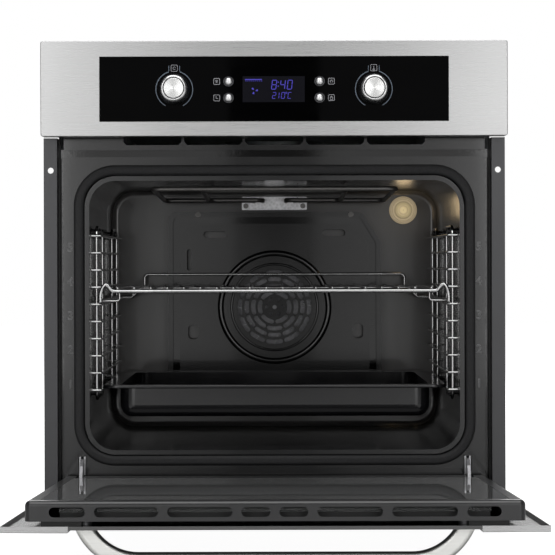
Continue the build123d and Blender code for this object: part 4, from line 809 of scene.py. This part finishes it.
def turned(name, centre, profile, body, material, steps=128):
    """A smooth lathe form about an axis along Y; the profile is radius and distance forward."""
    mesh = bmesh.new()
    rings = []
    for radius, forward in profile:
        y = centre[1] - forward * MM
        if radius == 0:
            rings.append([mesh.verts.new((centre[0], y, centre[2]))])
            continue
        rings.append([
            mesh.verts.new((
                centre[0] + radius * MM * math.cos(2 * math.pi * n / steps),
                y,
                centre[2] + radius * MM * math.sin(2 * math.pi * n / steps),
            ))
            for n in range(steps)
        ])
    for near, far in zip(rings, rings[1:] + rings[:1]):
        if len(near) == 1 and len(far) == 1:
            continue
        for n in range(steps):
            nxt = (n + 1) % steps
            corners = (
                near[n % len(near)], near[nxt % len(near)], far[nxt % len(far)], far[n % len(far)]
            )
            # a ring that is one point on the axis gives a triangle
            mesh.faces.new(list(dict.fromkeys(corners)))
    bmesh.ops.recalc_face_normals(mesh, faces=mesh.faces)
    data = bpy.data.meshes.new(name)
    mesh.to_mesh(data)
    mesh.free()
    data.polygons.foreach_set("use_smooth", [True] * len(data.polygons))
    data.set_sharp_from_angle(angle=CREASE)
    data.materials.append(material)
    piece = bpy.data.objects.new(name, data)
    bpy.context.scene.collection.objects.link(piece)
    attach(piece, body)
    return piece


def knobs():
    """Turned knobs with a spun face, a fine groove, a rounded rim and a flared skirt."""
    front = front_of("fascia_glass")
    for node, body in (
        ("function_knob", "function_selector"), ("temperature_knob", "temperature_selector")
    ):
        middle = centre_of(node)
        place = (middle[0], front, middle[2])
        knob = turned(f"{node}_turned", place, KNOB_PROFILE, body, SPECIAL[node])
        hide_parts(node)


def buttons():
    """Domed push buttons in their polished rings."""
    front = front_of("fascia_glass")
    rings = []
    for node in (
        "upper_left_button", "lower_left_button", "upper_right_button", "lower_right_button"
    ):
        middle = centre_of(node)
        place = (middle[0], front, middle[2])
        cap = turned(
            f"{node}_dome", place, BUTTON_PROFILE, f"{node}_cap", BUTTON_METAL, 64
        )
        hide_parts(node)
        rings.append(
            turned(f"{node}_ring", place, RING_PROFILE, "chassis", RING_METAL, 64)
        )
    for piece in rings:
        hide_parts("button_bezels")


def shelf_rod_ends():
    """Rounded ends of the shelf rods where they rest on the front bar."""
    low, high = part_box("wire_shelf")
    reach = high.x - ROD_INSET
    chrome = MATERIALS["chrome"]
    for n in range(ROD_COUNT):
        x = -reach + 2 * reach * n / (ROD_COUNT - 1)
        place = (x, low.y + ROD_START, high.z - ROD_BELOW_GUARD)
        turned(f"shelf_rod_end_{n + 1}", place, ROD_END_PROFILE, "shelf", chrome, 24)


# ---------------------------------------------------------------- studio
def aim(thing, target):
    thing.rotation_euler = (Vector(target) - thing.location).to_track_quat("-Z", "Y").to_euler()


def softbox(name, place, target, size, power):
    data = bpy.data.lights.new(name, "AREA")
    data.shape = "RECTANGLE"
    data.size, data.size_y = size
    data.energy = power
    light = bpy.data.objects.new(name, data)
    light.location = place
    bpy.context.scene.collection.objects.link(light)
    aim(light, target)


def studio_lights():
    """The softboxes, and a faint warm light in front of the oven lamp's lens."""
    for name, place, target, size, power in SOFTBOXES:
        softbox(name, place, target, size, power)
    low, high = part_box("lamp_lens")
    lamp = bpy.data.lights.new("oven_lamp", "POINT")
    lamp.energy = 0.008
    lamp.color = (1.0, 0.72, 0.42)
    lamp.shadow_soft_size = 0.012
    glow = bpy.data.objects.new("oven_lamp", lamp)
    glow.location = ((low.x + high.x) / 2, low.y - 0.02, (low.z + high.z) / 2)
    bpy.context.scene.collection.objects.link(glow)


def seen_or_lit(tree, lit, seen):
    """A strength that is one value for lighting and another where the camera sees it."""
    path = tree.nodes.new("ShaderNodeLightPath")
    strength = tree.nodes.new("ShaderNodeMapRange")
    strength.inputs["To Min"].default_value = lit
    strength.inputs["To Max"].default_value = seen
    tree.links.new(path.outputs["Is Camera Ray"], strength.inputs["Value"])
    return strength.outputs[0]


def studio_world():
    """White behind the object, softer grey in what the surfaces reflect."""
    world = bpy.data.worlds.new("studio")
    world.use_nodes = True
    bpy.context.scene.world = world
    tree = world.node_tree
    backdrop = tree.nodes["Background"]
    backdrop.inputs["Color"].default_value = (1.0, 1.0, 1.0, 1.0)
    tree.links.new(seen_or_lit(tree, 0.11, 1.0), backdrop.inputs["Strength"])


def stage_block(name, low, high, material):
    mesh = bmesh.new()
    bmesh.ops.create_cube(mesh, size=1.0)
    for vertex in mesh.verts:
        vertex.co = [low[i] + (vertex.co[i] + 0.5) * (high[i] - low[i]) for i in range(3)]
    data = bpy.data.meshes.new(name)
    mesh.to_mesh(data)
    mesh.free()
    data.materials.append(material)
    block = bpy.data.objects.new(name, data)
    bpy.context.scene.collection.objects.link(block)


def studio_floor():
    """A pale floor below the hanging handle, and a low plinth under the body."""
    pale = plastic("pale_floor", (0.60, 0.60, 0.60), 0.9, 60.0)
    shader = shader_of(pale)
    shader.inputs["Emission Color"].default_value = (1.0, 1.0, 1.0, 1.0)
    strength = seen_or_lit(pale.node_tree, 0.05, 0.97)
    pale.node_tree.links.new(strength, shader.inputs["Emission Strength"])
    ground = cad_box[0].z - FLOOR_GAP
    stage_block(
        "floor",
        (-FLOOR_HALF, -FLOOR_HALF, ground - FLOOR_THICKNESS),
        (FLOOR_HALF, FLOOR_HALF, ground),
        pale,
    )
    low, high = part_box("base_pan")
    stage_block(
        "plinth",
        (low.x + PLINTH_INSET, low.y + PLINTH_INSET, ground),
        (high.x - PLINTH_INSET, high.y - PLINTH_INSET, -PLINTH_GAP),
        pale,
    )


def camera():
    data = bpy.data.cameras.new("camera")
    data.lens = CAMERA_LENS
    data.sensor_width = 36.0
    data.shift_x, data.shift_y = CAMERA_SHIFT
    data.clip_start, data.clip_end = 0.05, 40.0
    thing = bpy.data.objects.new("camera", data)
    thing.location = CAMERA_PLACE
    thing.rotation_euler = (math.pi / 2, CAMERA_ROLL, 0.0)
    bpy.context.scene.collection.objects.link(thing)
    bpy.context.scene.camera = thing


def object_detail():
    """The prints, lit display, level numbers and turned pieces that the CAD leaves out."""
    glass_front = front_of("fascia_glass")
    ink = plastic("ring_ink", (0.11, 0.14, 0.18), 0.4)
    paint = plastic("sign_ink", (0.34, 0.34, 0.36), 0.45)
    display_marks()
    for name in ("function", "temperature"):
        knob_marks(name, glass_front, ink, paint)
    button_marks(glass_front, paint)
    level_numbers()
    knobs()
    buttons()
    shelf_rod_ends()


bpy.context.scene.view_settings.view_transform = "Standard"
camera()
dress_cad_nodes()
object_detail()
studio_world()
studio_lights()
studio_floor()
